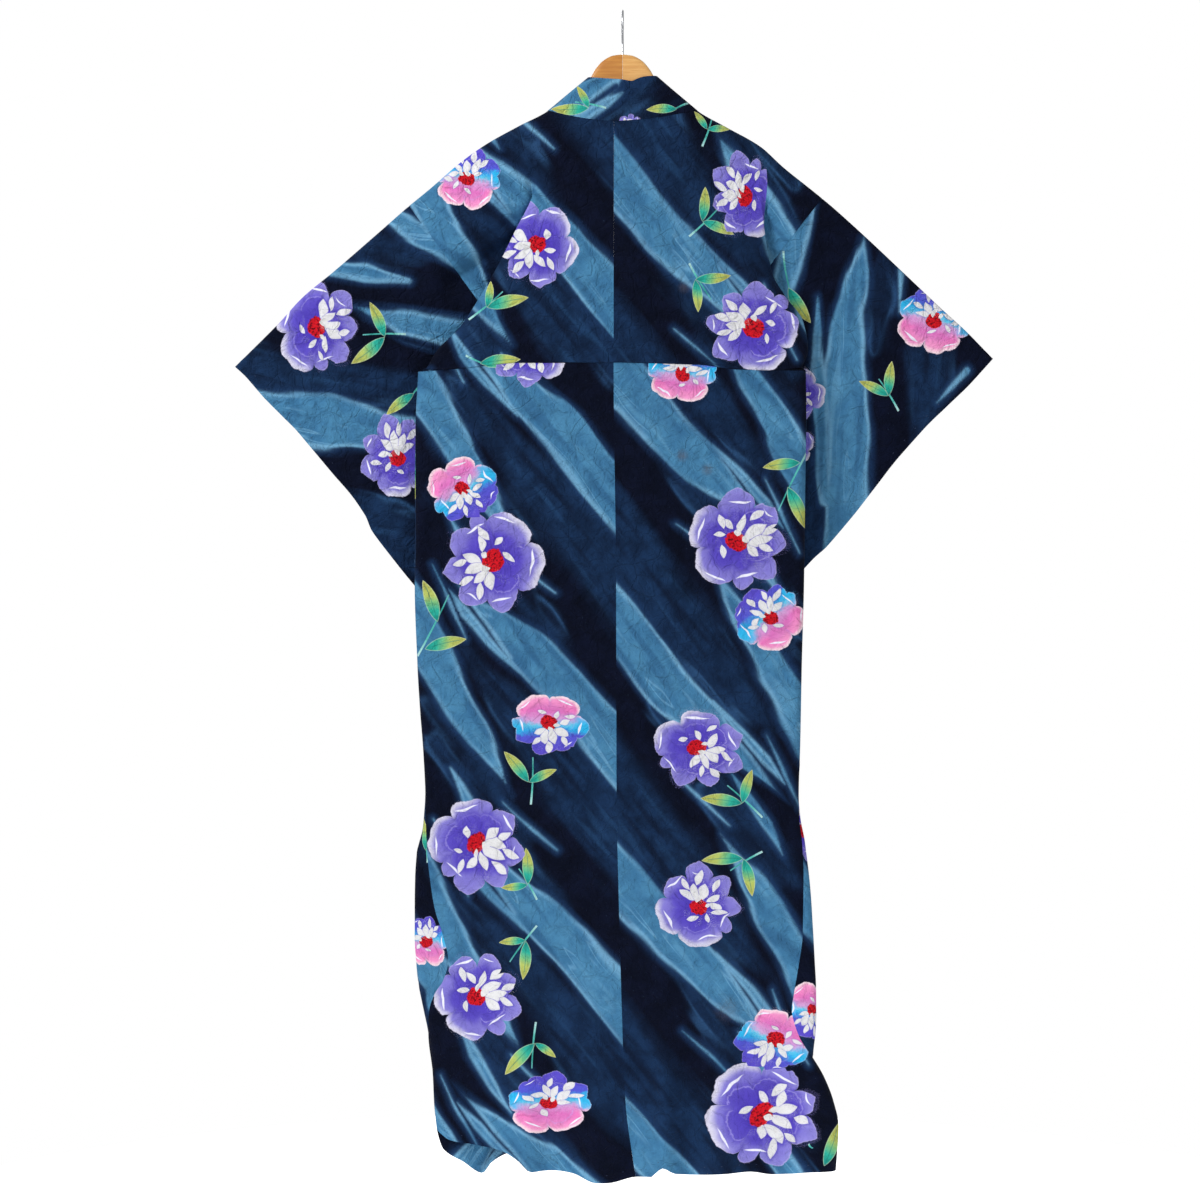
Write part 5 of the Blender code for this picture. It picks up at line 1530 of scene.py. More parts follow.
def add_flowers(tree, under):
    """The flowers, laid on the ground colour."""
    x, y, code = field(tree, "flower")
    kind = code.floor()
    seed = code - kind
    spot = vector(tree, x, y, seed * 60)
    drift_x = noise(tree, spot, 2.2, 1.0) - 0.5
    drift_y = noise(tree, vector(tree, x, y, seed * 60 + 7), 2.2, 1.0) - 0.5
    x, y = x + drift_x * 0.2, y + drift_y * 0.2
    radius = (x * x + y * y).root()
    angle = y.angle_to(x)
    pink = kind.over(1.5)
    grain = noise(tree, spot, 16, 3.0)
    spiky = angle.cosine().ramp(-0.3, 0.3)
    spiky = spiky * (1 - pink * 0.5)

    def petals(count, shift):
        turn = (angle + math.pi + shift) * (count / (2 * math.pi)) + 0.5
        share = (turn.part() * 2 - 1).size() * -1 + 1
        chance = draw(tree, vector(tree, turn.floor(), seed * 100, count))
        return share, chance, (share * (2 - share)).root()

    ruffle = (grain - 0.5) * 0.05
    share_a, chance_a, round_a = petals(5, 0.62)
    share_b, chance_b, round_b = petals(8, 0.2)
    notch = ((share_a - 1) * 6).power(2.0) * -1
    edge_a = round_a * 0.25 + 0.73 + (chance_a - 0.5) * 0.12 - notch.exponent() * 0.025
    edge_b = (share_b + round_b) * 0.15 + 0.70 + (chance_b - 0.5) * 0.16
    edge = edge_a * (1 - spiky) + edge_b * spiky + ruffle
    inside = edge - radius
    rim = radius / edge
    share = share_a * (1 - spiky) + share_b * spiky
    gap = share.ramp(0.0, 0.2, 1.0, 0.0) * rim.ramp(0.55, 0.85)

    violet = colours(tree, rim + (grain - 0.5) * 0.2, [
        (0.28, (76, 63, 162)), (0.5, (96, 86, 178)), (0.66, (113, 105, 188)),
        (0.84, (121, 114, 193)), (0.98, (132, 126, 199)),
    ])
    pale_side = (angle.cosine() * -1 + (chance_a - 0.5) * 0.5).ramp(0.45, 0.75)
    violet = blend_in(tree, violet, (206, 204, 218), pale_side * rim.ramp(0.79, 0.98) * 0.9)
    height = (x * -0.5) + 0.5 + (grain - 0.5) * 0.1
    mixed = colours(tree, height, [
        (0.12, (84, 72, 184)), (0.3, (76, 82, 192)), (0.4, (40, 158, 212)), (0.47, (92, 196, 222)),
        (0.54, (206, 158, 202)), (0.68, (218, 112, 176)), (0.95, (228, 150, 192)),
    ])
    wings = y.size().ramp(0.5, 0.8) * height.ramp(0.3, 0.36) * height.ramp(0.56, 0.62, 1.0, 0.0)
    mixed = blend_in(tree, mixed, (44, 166, 216), wings * 0.9)
    rim_pale = rim.ramp(0.84, 0.99) * height.ramp(0.5, 0.7)
    mixed = blend_in(tree, mixed, (232, 214, 216), rim_pale * 0.85)
    petal = blend_in(tree, violet, mixed, pink)
    petal = blend_in(tree, petal, (66, 52, 160), gap * (0.5 - pink * 0.3))
    outline = inside.ramp(0.0, 0.035, 1.0, 0.0)
    petal = blend_in(tree, petal, (196, 190, 224), outline * 0.55)
    chance_c, round_c = petals(6, 0.4)[1:]
    ring = round_c * 0.13 + 0.46 + (chance_c - 0.5) * 0.14 + ruffle * 2 - radius
    petal = blend_in(tree, petal, (72, 56, 172), ring.ramp(-0.16, 0.02) * (0.7 - pink * 0.55))
    line = ((ring + 0.01) * 70).power(2.0) * -1
    shown = line.exponent() * chance_c.ramp(0.5, 0.8) * (0.5 - pink * 0.2)
    petal = blend_in(tree, petal, (168, 160, 222), shown)

    marks = arc_mark(angle, radius, *ARC_MARKS[0])
    for mark in ARC_MARKS[1:]:
        marks = marks.most(arc_mark(angle, radius, *mark))
    petal = blend_in(tree, petal, (226, 226, 240), marks.ramp(0.0, 0.014) * 0.95)

    chance = draw(tree, vector(tree, seed * 100, 9.5))
    swing = (draw(tree, vector(tree, seed * 100, 4.5)) - 0.5) * 0.9
    cosine, sine = swing.cosine(), swing.sine()
    flip = chance.over(0.5) * 2 - 1
    fan_x = x * cosine - y * sine
    fan_y = (x * sine + y * cosine) * flip
    lenses, behind = small_petals(tree, fan_x, fan_y, seed, FANS)
    petal = blend_in(tree, petal, (66, 50, 164), lenses.ramp(-0.7, 0.1) * (0.55 - pink * 0.3))
    lens_colour = blend_in(tree, (212, 212, 214), (186, 182, 212), lenses.ramp(0.0, 0.35, 1.0, 0.0))
    petal = blend_in(tree, petal, lens_colour, lenses.ramp(0.02, 0.14))
    between = (lenses - behind).ramp(0.02, 0.15, 1.0, 0.0) * behind.ramp(0.0, 0.08)
    petal = blend_in(tree, petal, (104, 94, 182), between * 0.85)

    heart_x, heart_y = x + 0.02, y * 0.95
    heart = (heart_x * heart_x + heart_y * heart_y).root() + (grain - 0.5) * 0.09
    specks = noise(tree, spot, 24, 2.0, 0.7)
    red = blend_in(tree, (196, 22, 34), (92, 10, 24), specks.ramp(0.5, 0.6))
    petal = blend_in(tree, petal, red, heart.ramp(0.19, 0.215, 1.0, 0.0))
    near = small_petals(tree, fan_x, fan_y, seed, NEAR_PETALS)[0]
    petal = blend_in(tree, petal, (210, 210, 212), near.ramp(0.02, 0.14))
    shown = inside.ramp(0.0, 0.018) * code.over(0.5)
    return blend_in(tree, under, petal, shown)


def add_sprigs(tree, under):
    """The stems and the two leaves of each sprig, laid on the colour under them."""
    along, across, shown = field(tree, "stem")
    curve_out = along * (1 - along) * 2.4
    width = 0.95 - along * 0.35
    line = width - (across - curve_out).size()
    within = along.ramp(-0.01, 0.01) * along.ramp(0.99, 1.01, 1.0, 0.0)
    stem = colours(tree, along, [
        (0.0, (168, 206, 206)), (0.3, (84, 176, 168)), (0.8, (54, 148, 140)), (1.0, (100, 176, 176)),
    ])
    under = blend_in(tree, under, stem, line.ramp(-0.05, 0.3) * within * shown)
    for name, bend in (("leaf_a", 0.35), ("leaf_b", -0.35)):
        along, across, shown = field(tree, name)
        belly = along * (1 - along)
        bow = belly * bend * 2
        swell = (belly * 4).most(0.0).power(0.85)
        inside = swell * (1.12 - along * 0.25) - (across - bow).size()
        leaf = colours(tree, along + across * 0.05, [
            (0.05, (22, 132, 126)), (0.28, (44, 162, 142)), (0.46, (112, 176, 120)),
            (0.62, (166, 180, 96)), (1.0, (164, 160, 78)),
        ])
        rib = (0.09 - (across - bow).size()) * along.ramp(0.75, 0.95, 1.0, 0.0)
        leaf = blend_in(tree, leaf, (36, 120, 110), rib.ramp(0.0, 0.05) * 0.6)
        leaf = blend_in(tree, leaf, (208, 226, 190), inside.ramp(0.0, 0.22, 1.0, 0.0) * 0.6)
        under = blend_in(tree, under, leaf, inside.ramp(0.0, 0.1) * shown)
    return under


def stroke_depth(tree, name):
    """How far a point is inside the nearest stroke, in pixels."""
    across, past, half = field(tree, name)
    return half - (across * across + past * past).root()


def cotton_material():
    """Dyed cotton: dark ground, pale bands with a bright edge, flowers, sprigs, marks and weave."""
    made, tree, shader = new_material("printed cotton")
    u, v, stain = field(tree, "cloth")
    light, mid = field(tree, "tone")[:2]
    along, across = field(tree, "flow")[:2]
    cut, thin = stroke_depth(tree, "cut"), stroke_depth(tree, "thin")
    streak = noise(tree, vector(tree, along * 0.007, across * 0.055), 1.0, 1.5, 0.45)
    broad = noise(tree, vector(tree, along * 0.006, across * 0.02, 5), 1.0, 1.0, 0.4)
    fine = noise(tree, vector(tree, along * 0.05, across * 0.4), 1.0, 2.0, 0.5)
    mottle = noise(tree, vector(tree, u * 0.03, v * 0.03), 1.0, 4.0, 0.6)
    speck = noise(tree, vector(tree, u * 0.35, v * 0.35), 1.0, 2.0, 0.6)

    bend = (streak - 0.5) * 9 + (fine - 0.5) * 0.5
    depth = (light + bend).least(1.0 - cut - bend * 0.5).most(thin + bend * 0.4)
    middle = mid + (streak - 0.5) * 26 + (broad - 0.5) * 30
    ground = blend_in(tree, (4, 8, 24), (8, 14, 34), mottle.ramp(0.35, 0.7))
    tone = blend_in(tree, (14, 32, 58), (21, 44, 76), mottle.ramp(0.35, 0.65))
    tone = blend_in(tree, tone, (8, 18, 38), streak.ramp(0.5, 0.7) * 0.7)
    tone = blend_in(tree, tone, (34, 66, 104), streak.ramp(0.26, 0.42, 1.0, 0.0) * 0.5)
    colour = blend_in(tree, ground, tone, middle.ramp(-11.0, 11.0))
    soft_edge = (middle * 0.3).power(2.0) * -1
    colour = blend_in(tree, colour, (50, 88, 132), soft_edge.exponent() * broad.ramp(0.5, 0.7) * 0.5)
    pale = blend_in(tree, (54, 104, 142), (68, 122, 158), mottle.ramp(0.3, 0.7))
    pale = blend_in(tree, pale, (40, 82, 120), streak.ramp(0.52, 0.68) * 0.6)
    pale = blend_in(tree, pale, (94, 148, 182), streak.ramp(0.28, 0.4, 1.0, 0.0) * 0.45)
    fade = depth.ramp(-9.0, 0.5)
    colour = blend_in(tree, colour, (30, 60, 102), fade * 0.5)
    colour = blend_in(tree, colour, pale, depth.ramp(-1.8, 2.0))
    halo = ((depth - 1.6) * 0.46).power(2.0) * -1
    colour = blend_in(tree, colour, (122, 172, 204), halo.exponent() * broad.ramp(0.34, 0.6, 0.08, 0.55))
    vein = ((streak - 0.42) * 60).power(2.0) * -1
    veins = vein.exponent() * depth.ramp(1.0, 5.0) * broad.ramp(0.45, 0.65) * 0.5
    colour = blend_in(tree, colour, (112, 164, 198), veins)
    colour = blend_in(tree, colour, (112, 142, 178), speck.ramp(0.66, 0.8) * 0.1)

    colour = add_sprigs(tree, colour)
    colour = add_flowers(tree, colour)
    blot = stain * (mottle * 0.8 + 0.5) * (speck * 0.7 + 0.65)
    colour = blend_in(tree, colour, (82, 76, 78), blot.ramp(0.22, 0.7) * 0.55)
    colour = blend_in(tree, colour, (0, 0, 0), speck * 0.1)
    tree.links.new(colour, shader.inputs["Base Color"])
    set_inputs(shader, {
        "Roughness": 0.92, "Specular IOR Level": 0.06, "Sheen Weight": 0.01, "Sheen Roughness": 0.5,
    })

    pitch = 2 * math.pi / 0.85
    weave = (u * pitch).sine() * (v * pitch).sine()
    slub = noise(tree, vector(tree, u * 0.02, v * 0.7), 1.0, 1.0)
    crumple = noise(tree, vector(tree, u, v), 0.045, 4.0, 0.62, 1.2)
    warped_u = u + (noise(tree, vector(tree, u, v, 11), 0.02, 2.0) - 0.5) * 34
    warped_v = v + (noise(tree, vector(tree, u, v, 23), 0.02, 2.0) - 0.5) * 34
    cells = tree.nodes.new("ShaderNodeTexVoronoi")
    cells.feature = "DISTANCE_TO_EDGE"
    cells.inputs["Scale"].default_value = 0.03
    tree.links.new(vector(tree, warped_u, warped_v), cells.inputs["Vector"])
    crease = Value(tree, cells.outputs["Distance"]).ramp(0.0, 0.05) * mottle.ramp(0.35, 0.6)
    relief = weave * 0.05 + slub * 0.1 + crumple * 9.0 + crease * 1.3
    add_bump(tree, shader, relief, 1.0, MM)
    return made


def wood_material(name, pale, dark):
    """Varnished wood with long grain along the arm."""
    made, tree, shader = new_material(name)
    place = tree.nodes.new("ShaderNodeTexCoord")
    split = tree.nodes.new("ShaderNodeSeparateXYZ")
    tree.links.new(place.outputs["Object"], split.inputs[0])
    x, y, z = (Value(tree, out) for out in split.outputs)
    grain = noise(tree, vector(tree, x * 14, y * 240, z * 240), 1.0, 4.0, 0.6, 0.4)
    pore = noise(tree, vector(tree, x * 60, y * 1500, z * 1500), 1.0, 2.0)
    broad = noise(tree, vector(tree, x * 10, y * 40, z * 40), 1.0, 2.0)
    colour = blend_in(tree, dark, pale, grain.ramp(0.3, 0.7) * 0.7 + broad.ramp(0.3, 0.7) * 0.3)
    colour = blend_in(tree, colour, (112, 66, 26), pore.ramp(0.6, 0.75) * 0.3)
    tree.links.new(colour, shader.inputs["Base Color"])
    set_inputs(shader, {"Roughness": 0.38, "Coat Weight": 0.35, "Coat Roughness": 0.18})
    add_bump(tree, shader, grain + pore * 0.5, 0.2, 0.3 * MM)
    return made


def steel_material():
    """Bright drawn wire with a faint scuffing."""
    made, tree, shader = new_material("polished wire")
    place = tree.nodes.new("ShaderNodeTexCoord")
    scuff = noise(tree, place.outputs["Object"], 900.0, 3.0)
    colour = blend_in(tree, (176, 178, 182), (206, 208, 212), scuff)
    tree.links.new(colour, shader.inputs["Base Color"])
    tree.links.new(scuff.ramp(0.3, 0.7, 0.2, 0.34).socket, shader.inputs["Roughness"])
    shader.inputs["Metallic"].default_value = 1.0
    return made


def thread_material():
    """Dark blue sewing thread with a twist."""
    made, tree, shader = new_material("sewing thread")
    place = tree.nodes.new("ShaderNodeTexCoord")
    twist = noise(tree, place.outputs["Object"], 2600.0, 1.0)
    tree.links.new(blend_in(tree, (20, 28, 56), (40, 54, 92), twist), shader.inputs["Base Color"])
    shader.inputs["Roughness"].default_value = 0.7
    return made


def dent(line, distance):
    """The dent of a stitched line at this distance from the edge, as DENTS lists it."""
    away, depth, width = DENTS[line]
    return -depth * np.exp(-(((distance - away) / width) ** 2))


def lay(obj, nodes=()):
    """Sets a piece to ride on the root, and hides the nodes that it replaces."""
    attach(obj, "root")
    if nodes:
        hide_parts(*nodes)


def back_print(side, at_x, at_drop, first_turned, split):
    """Where the points of a back lie on the print, which chart each follows, and their creases."""
    px, py = column_of(at_x), row_of(at_drop)
    groups = np.empty(px.shape, dtype=CHART_NAME)
    groups[:split] = side + "_above"
    groups[split:] = side + "_below"
    groups[:split, first_turned:] = side + "_strip"
    height = np.zeros(px.shape)
    for part in (side + "_above", side + "_below"):
        chosen = groups == part
        height[chosen] = crease_heights(px, py, CREASES[part])[chosen]
    share = np.ones(px.shape[1])
    share[first_turned - 2 * TURN_STEPS - PLEAT_FLAT_COLUMNS :] = PLEAT_CREASE_SHARE
    height[:split] *= share
    height += uneven("back", px, py, SIDES[side]) * share
    return px, py, groups, height


def front_print(side, grid, at_x, at_drop, split):
    """The same of a front, whose print runs on from the back's round the side."""
    sign = SIDES[side]
    edges = SIDE[side]
    seams = curve(at_drop, edges["drop"], edges["seam"])
    steps = np.linalg.norm(np.diff(grid, axis=1), axis=2) / MM
    length = np.concatenate([np.zeros((len(grid), 1)), np.cumsum(steps, axis=1)], axis=1)
    folded = seams + length[:, -1:] - length
    plain = 2 * edges["seam"][0] - sign * at_x
    along = np.where(np.arange(len(grid))[:, None] >= split, folded, plain)
    px, py = column_of(sign * along), row_of(at_drop)
    groups = np.full(px.shape, side + "_front", dtype=CHART_NAME)
    height = crease_heights(px, py, plain_creases(px, py)) + uneven("front", px, py, sign)
    height[:split] *= FRONT_TOP_CREASE_SHARE
    return px, py, groups, height


def body_half(side, is_back, cloth):
    """One back or front of the body, and the grid of its middle surface."""
    rows = [upper_section(side, share, is_back) for share in UPPER_ROWS]
    columns = len(rows[0][0])
    lower = lower_rows(side, is_back, columns)
    x, y, drop = lower[0]
    step = TUCK_STEP * ease((np.abs(x[-1]) - np.abs(x)) / TUCK_SIDE_FADE) if is_back else 0
    rows[-1] = (x, y + step, drop)
    lower[0] = (x, y, drop + TUCK_FALL)
    rows += lower
    grid = np.stack([to_world(*row) for row in rows])
    split = len(UPPER_ROWS)
    grid = trimmed(grid, ["top", "first", "last"], VISUAL_GAP / 2)
    grid[split:] = trimmed(grid[split:], ["last"], VISUAL_GAP)
    ends = np.full((len(grid), 3), np.nan)
    edges = SIDE[side]
    drops = -grid[split:, -1, 2] / MM
    peek = curve(drops, edges["drop"], edges["edge"] - edges["seam"])
    turn = math.pi / 2 + np.arccos(np.clip(1 - peek / SIDE_ROUND, 0, 1))
    ends[split:] = np.stack([SIDES[side] * np.sin(turn), -np.cos(turn), 0 * turn], axis=1)
    at_x, at_drop = grid[..., 0] / MM, -grid[..., 2] / MM
    if is_back:
        px, py, groups, height = back_print(side, at_x, at_drop, columns - STRIP_STEPS - UNDER_STEPS, split)
    else:
        px, py, groups, height = front_print(side, grid, at_x, at_drop, split)
    height *= ease(np.arange(columns) / EDGE_COLUMNS)
    height *= ease((np.arange(len(grid)) + 1) / TOP_EDGE_ROWS)[:, None]
    height[:, -LAST_EDGE_COLUMNS:] *= np.linspace(1, 0, LAST_EDGE_COLUMNS)
    from_middle = np.abs(at_x - at_x[:, :1])
    height += dent("middle", from_middle) * (from_middle > MIDDLE_EDGE)
    height += dent("hem", np.linalg.norm(grid - grid[-1:], axis=2) / MM)
    name = f"cloth_{'back' if is_back else 'front'}_{side}"
    return cloth_wall(name, grid, THIN, cloth, (px, py), groups, height, True, ends), grid


def sleeve_layer(side, is_back, cloth):
    """The back or the front of a sleeve, and its grid."""
    sign = SIDES[side]
    across, down = np.meshgrid(SLEEVE_COLUMNS, SLEEVE_ROWS)
    reach, drop = sleeve_point(side, across, down)
    below = down * SLEEVE_DEPTH
    centre = -SHOULDER_BOW - SLEEVE_DIVE * ease(below / SLEEVE_DIVE_DEPTH)
    puff_across = np.sin(math.pi * np.clip(across, PUFF_EDGE_ACROSS, 1 - PUFF_EDGE_ACROSS))
    puff_down = np.sin(math.pi * np.clip(down, PUFF_EDGE_DOWN, 1 - PUFF_EDGE_DOWN))
    bulge = puff_across * puff_down * SLEEVE_PUFF / 2
    closed_cuff = ease((across - CUFF_CLOSE_SHARE) / (1 - CUFF_CLOSE_SHARE))
    closed_cuff = closed_cuff * ease((below - CUFF_OPENING) / CUFF_CLOSE_DEPTH)
    closed_foot = ease((down - FOOT_CLOSE_SHARE) / (1 - FOOT_CLOSE_SHARE))
    shut = np.maximum(closed_cuff, closed_foot)
    open_half = mix(SLEEVE_HALF_DEPTH + bulge, (THIN + VISUAL_GAP) / 2, shut)
    half = open_half * quarter(below / OUTER_HOLLOW)
    own = centre + (half if is_back else -half)
    at_seam = np.interp(below, *seam_depth(side, is_back))
    past_seam = ease((below - SEAM_RELEASE) / RELEASE_LENGTH)
    free = np.maximum(ease(across * SLEEVE_WIDTH / SEAM_BLEND), past_seam)
    grid = to_world(sign * reach, mix(at_seam, own, free), drop)
    grid = trimmed(grid, ["top", "first"], VISUAL_GAP / 2)
    released = int(np.searchsorted(SLEEVE_ROWS * SLEEVE_DEPTH, SEAM_RELEASE))
    grid[released:] = trimmed(grid[released:], ["first"], ARMHOLE_END_GAP)
    lap = ease((SEAM_RELEASE - below[:, 0]) / LAP_FADE)
    grid[:, 0, 0] -= sign * LAP_REACH * lap * MM
    grid[:, 0, 1] -= (LAP_DEPTH if is_back else -LAP_DEPTH) * lap * MM
    px, py = column_of(grid[..., 0] / MM), row_of(-grid[..., 2] / MM)
    chart = f"{side}_sleeve" if is_back else f"{side}_sleeve_under"
    groups = np.full(px.shape, chart, dtype=CHART_NAME)
    rows = CREASES[chart] if is_back else plain_creases(px, py)
    height = crease_heights(px, py, rows) * (1 - shut * SHUT_FLATTENS)
    height += uneven("sleeve", px, py, sign + 2 * is_back) * (1 - shut)
    top = ease(down / SLEEVE_TOP_SHARE)
    cuff = ease((across - 1 + SLEEVE_EDGE_SHARE) / SLEEVE_EDGE_SHARE)
    height *= top * ease(across / SLEEVE_EDGE_SHARE) * (1 - CUFF_FLATTENS * cuff)
    open_cuff = ease((CUFF_OPENING + DENT_FADE - below) / DENT_FADE)
    height += dent("cuff", (1 - across) * SLEEVE_WIDTH) * open_cuff
    height += dent("armhole", across * SLEEVE_WIDTH) * ease((SEAM_RELEASE - below) / DENT_FADE) * top
    name = f"cloth_sleeve_{side}_{'back' if is_back else 'front'}"
    return cloth_wall(name, grid, THIN, cloth, (px, py), groups, height, True), grid


def make_collar(cloth):
    """The folded band round the neck and down both fronts."""
    left, right = collar_half("left"), collar_half("right")
    grid = trimmed(np.stack(left[::-1] + right[1:]), ["first"], VISUAL_GAP)
    px, py = column_of(grid[..., 0] / MM), row_of(-grid[..., 2] / MM)
    groups = np.full(px.shape, "collar_front", dtype=CHART_NAME)
    middle, behind = len(left) - 1, len(COLLAR_BACK_ROWS) - 1
    groups[middle - behind : middle + behind + 1] = "collar_back"
    from_edge = np.minimum(COLLAR_COLUMNS, 1 - COLLAR_COLUMNS)
    height = uneven("collar", px, py) * ease(from_edge * COLLAR_EDGE_RATE)
    return cloth_wall("cloth_collar", grid, COLLAR_THIN, cloth, (px, py), groups, height)


def make_okumi(side, cloth):
    """The narrow panel at the free edge of a front."""
    sign = SIDES[side]
    rows = []
    for drop in OKUMI_DROPS:
        edge = (COLLAR_FRONT, "seam") if drop <= COLLAR_END_DROP else (OKUMI_EDGE, "free")
        free = float(curve(drop, edge[0]["drop"], edge[0][edge[1]]))
        reach = mix(OKUMI_SEAM_REACH, free, OKUMI_COLUMNS)
        last = curve(reach, FRONT_HEM["reach"], FRONT_HEM[side])
        level = mix(drop, last, ease((drop - OKUMI_HEM_DROP) / OKUMI_HEM_DEPTH))
        rows.append(to_world(sign * reach, front_depth(sign * reach, level, sign), level))
    grid = trimmed(np.stack(rows), ["first", "last"], VISUAL_GAP)
    at_x, at_drop = grid[..., 0] / MM, -grid[..., 2] / MM
    px, py = column_of(sign * (2 * SIDE[side]["seam"][0] - sign * at_x)), row_of(at_drop)
    groups = np.full(px.shape, side + "_front", dtype=CHART_NAME)
    from_edge = np.minimum(OKUMI_COLUMNS, 1 - OKUMI_COLUMNS)
    height = uneven("front", px, py, sign) * ease(from_edge * OKUMI_EDGE_RATE)
    return cloth_wall(f"cloth_okumi_{side}", grid, THIN, cloth, (px, py), groups, height)


def ringed(name, points, ring, surface):
    """A closed body through rings of points, with flat ends."""
    count = len(points) // ring
    faces = [tuple(range(ring))[::-1], tuple((count - 1) * ring + k for k in range(ring))]
    for r in range(count - 1):
        for k in range(ring):
            a, b = r * ring + k, r * ring + (k + 1) % ring
            faces.append((a, b, b + ring, a + ring))
    mesh = bpy.data.meshes.new(name)
    mesh.from_pydata(points, [], faces)
    shape = bmesh.new()
    shape.from_mesh(mesh)
    bmesh.ops.recalc_face_normals(shape, faces=shape.faces)
    shape.to_mesh(mesh)
    shape.free()
    mesh.shade_smooth()
    mesh.set_sharp_from_angle(angle=math.radians(SHARP_DEGREES))
    mesh.materials.append(surface)
    return placed(name, mesh)


def make_arm(side, wood):
    """One arm of the hanger, from the joint in the middle to its rounded end."""
    sign = SIDES[side]
    points = []
    for reach in HANGER_REACHES:
        top = float(curve(reach, HANGER["reach"], HANGER["top"]))
        bottom = float(curve(reach, HANGER["reach"], HANGER["bottom"]))
        if reach > HANGER_REACHES[0]:
            lift = float(shoulder_drop(sign * reach) - shoulder_drop(reach))
            lift *= float(ease((reach - LIFT_START) / LIFT_LENGTH))
            top, bottom = top + lift, bottom + lift
        half_height, half_thick = (bottom - top) / 2, HANGER_THICK / 2
        if reach > ARM_ROUND_REACH:
            past = (reach - ARM_ROUND_REACH) / ARM_ROUND_LENGTH
            half_thick *= math.sqrt(max(1 - past**2, ARM_LEAST_ROUND))
        middle = float(middle_depth(reach, 0.0))
        for k in range(HANGER_RING):
            angle = 2 * math.pi * (k + 0.5) / HANGER_RING
            cosine, sine = math.cos(angle), math.sin(angle)
            y = middle + half_thick * math.copysign(abs(cosine) ** ARM_CORNER, cosine)
            z = -(top + bottom) / 2 + half_height * math.copysign(abs(sine) ** ARM_CORNER, sine)
            points.append((sign * reach * MM, y * MM, z * MM))
    return ringed(f"wood_{side}", points, HANGER_RING, wood)


def make_hook(steel):
    """The bent wire of the hook."""
    radius = HOOK_INNER_RADIUS + HOOK_WIRE / 2
    path = [(y, -drop) for y, drop in zip(HOOK_PATH["y"], HOOK_PATH["drop"])]
    for angle in range(HOOK_FIRST_DEGREE, HOOK_LAST_DEGREE, -HOOK_STEP):
        turn = math.radians(angle)
        path.append((radius * math.cos(turn), -HOOK_INNER_RADIUS + radius * math.sin(turn)))
    path = np.array(path)
    along = np.gradient(path, axis=0)
    along /= np.linalg.norm(along, axis=1, keepdims=True)
    wire = HOOK_WIRE / 2
    points = []
    for (y, z), (dy, dz) in zip(path, along):
        for k in range(HOOK_RING):
            angle = 2 * math.pi * k / HOOK_RING
            side, out = wire * math.cos(angle), wire * math.sin(angle)
            points.append((side * MM, (y - dz * out) * MM, (z + dy * out) * MM))
    return ringed("wire_hook", points, HOOK_RING, steel)


def hem_line(grid):
    """The line of the hem's stitches, a little above the lower edge."""
    rise = grid[-HEM_STITCH_ROWS] - grid[-1]
    return grid[-1] + rise * (STITCH_INSET / max(np.linalg.norm(rise[HEM_STITCH_COLUMN]) / MM, 1))


def cuff_line(grid):
    """The line of the cuff's stitches, beside the open edge of the sleeve."""
    column = (1 - STITCH_INSET / SLEEVE_WIDTH) * (len(SLEEVE_COLUMNS) - 1)
    low = int(column)
    rows = slice(CUFF_FIRST_ROW, int(np.searchsorted(SLEEVE_ROWS * SLEEVE_DEPTH, CUFF_OPENING)))
    return mix(grid[rows, low], grid[rows, low + 1], column - low)


def stitches(name, line, pitch, thread, outward):
    """Small stitches along a line of points on the cloth, on the side that outward names."""
    steps = np.linalg.norm(np.diff(line, axis=0), axis=1)
    run = np.concatenate([[0], np.cumsum(steps)]) / MM
    points, faces = [], []
    for at in np.arange(pitch * FIRST_STITCH, run[-1] - pitch * LAST_STITCH, pitch):
        first = at + STITCH_WANDER * math.sin(at * STITCH_WAVES)
        start, end = (
            np.array([np.interp(along, run, line[:, k]) for k in range(3)])
            for along in (first, first + STITCH_LENGTH)
        )
        ahead = (end - start) / max(np.linalg.norm(end - start), 1e-9)
        aside = np.cross(ahead, outward)
        base = len(points)
        for share, swell in STITCH_RINGS:
            middle = mix(start, end, share) + outward * (THIN / 2 + STITCH_RISE * swell) * MM
            for k in range(STITCH_SIDES):
                angle = 2 * math.pi * k / STITCH_SIDES
                out = aside * math.cos(angle) + outward * STITCH_FLATNESS * math.sin(angle)
                points.append(tuple(middle + out * STITCH_RADIUS * swell * MM))
        for ring in range(len(STITCH_RINGS) - 1):
            for k in range(STITCH_SIDES):
                a = base + ring * STITCH_SIDES + k
                b = base + ring * STITCH_SIDES + (k + 1) % STITCH_SIDES
                faces.append((a, b, b + STITCH_SIDES, a + STITCH_SIDES))
        faces.append(tuple(range(base, base + STITCH_SIDES))[::-1])
        faces.append(tuple(range(len(points) - STITCH_SIDES, len(points))))
    mesh = bpy.data.meshes.new(name)
    mesh.from_pydata(points, [], faces)
    mesh.shade_smooth()
    mesh.materials.append(thread)
    return placed(name, mesh)


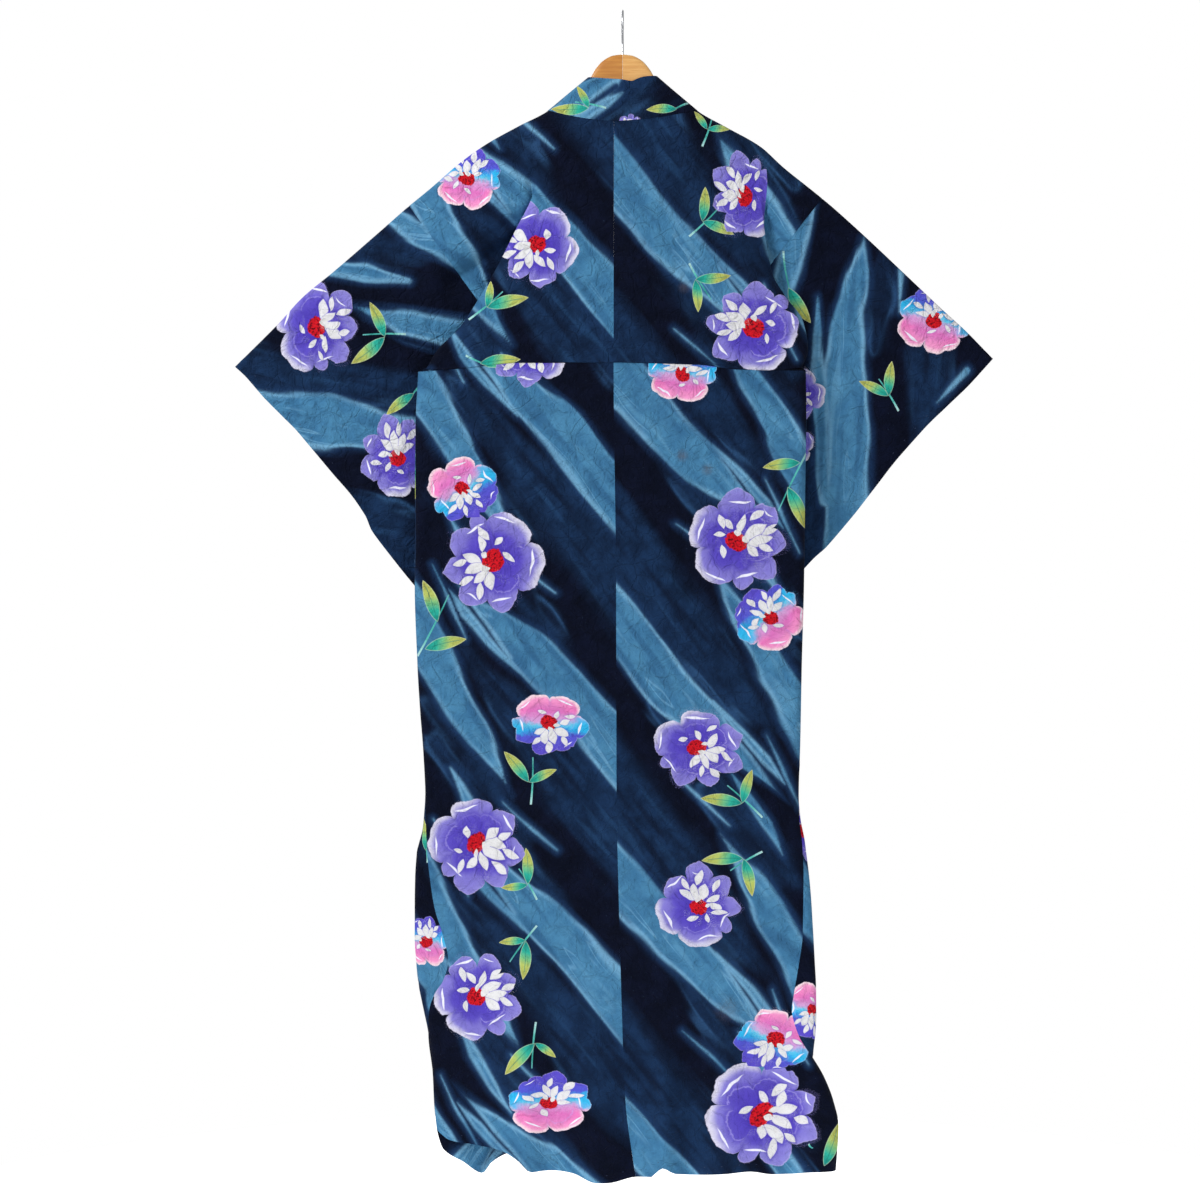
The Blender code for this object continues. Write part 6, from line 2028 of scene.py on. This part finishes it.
def make_stage():
    """A pale floor under the garment, a white world, soft lights and the camera of the view."""
    floor_mesh = bpy.data.meshes.new("studio_floor")
    turns = np.linspace(0, 2 * math.pi, FLOOR_SIDES + 1)[:-1]
    rim = [(FLOOR_RADIUS * math.cos(t), FLOOR_RADIUS * math.sin(t), FLOOR_LEVEL) for t in turns]
    floor_mesh.from_pydata(rim, [], [tuple(range(len(rim)))])
    floor = placed("studio_floor", floor_mesh)
    plain = bpy.data.materials.new("studio floor")
    plain.use_nodes = True
    set_inputs(plain.node_tree.nodes["Principled BSDF"], FLOOR_LOOK)
    floor_mesh.materials.append(plain)
    world = bpy.data.worlds.new("studio")
    bpy.context.scene.world = world
    world.use_nodes = True
    nodes, links = world.node_tree.nodes, world.node_tree.links
    seen = nodes["Background"]
    set_inputs(seen, {"Color": WHITE, "Strength": 1.0})
    lit = nodes.new("ShaderNodeBackground")
    set_inputs(lit, {"Strength": SURROUND_LIGHT})
    path = nodes.new("ShaderNodeLightPath")
    either = nodes.new("ShaderNodeMixShader")
    links.new(path.outputs["Is Camera Ray"], either.inputs[0])
    links.new(lit.outputs[0], either.inputs[1])
    links.new(seen.outputs[0], either.inputs[2])
    links.new(either.outputs[0], nodes["World Output"].inputs["Surface"])
    for label, place, power, span in LIGHTS:
        light = bpy.data.lights.new(label, "AREA")
        light.energy, light.size = power, span
        lamp = placed(label, light)
        lamp.location = place
        lamp.rotation_euler = (Vector(LIGHT_AIM) - Vector(place)).to_track_quat("-Z", "Y").to_euler()
    lens = bpy.data.cameras.new("view")
    lens.sensor_width = SENSOR_WIDTH
    lens.lens = SENSOR_WIDTH * CAMERA_DISTANCE / (VIEW_SIZE * PIXEL * MM)
    lens.clip_end = FAR_CLIP
    camera = placed("view", lens)
    centre_x = (VIEW_X + (VIEW_COLUMN - VIEW_SIZE / 2) * PIXEL) * MM
    centre_z = -(VIEW_SIZE / 2 - VIEW_ROW) * PIXEL * MM
    camera.location = (centre_x, CAMERA_DISTANCE, centre_z)
    camera.rotation_euler = (math.pi / 2, 0, math.pi)
    bpy.context.scene.camera = camera
    bpy.context.scene.view_settings.view_transform = "Standard"


def main():
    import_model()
    make_stage()
    cotton, steel, thread = cotton_material(), steel_material(), thread_material()
    # Each arm gets its own copy of the wood: darkened on the left as painted shade, lightened on the right
    # as painted light
    woods = {side: wood_material(f"wood of the {side} arm", *LIT_AND_SHADED_WOOD_COLOURS[side]) for side in SIDES}
    for side in SIDES:
        lay(make_arm(side, woods[side]), [f"hanger_arm_{side}"])
    lay(make_hook(steel), ["hook"])
    for side in SIDES:
        for face, is_back in (("back", True), ("front", False)):
            outward = np.array([0.0, 1.0, 0.0]) * (1 if is_back else -1)
            name = f"{face}_{side}"
            made, grid = body_half(side, is_back, cotton)
            lay(made, [name])
            lay(stitches("hem_stitches_" + name, hem_line(grid), HEM_PITCH, thread, outward))
            name = f"sleeve_{side}_{face}"
            made, grid = sleeve_layer(side, is_back, cotton)
            lay(made, [name])
            lay(stitches("cuff_stitches_" + name, cuff_line(grid), CUFF_PITCH, thread, outward))
        lay(make_okumi(side, cotton), [f"okumi_{side}"])
    lay(make_collar(cotton), ["collar"])


main()
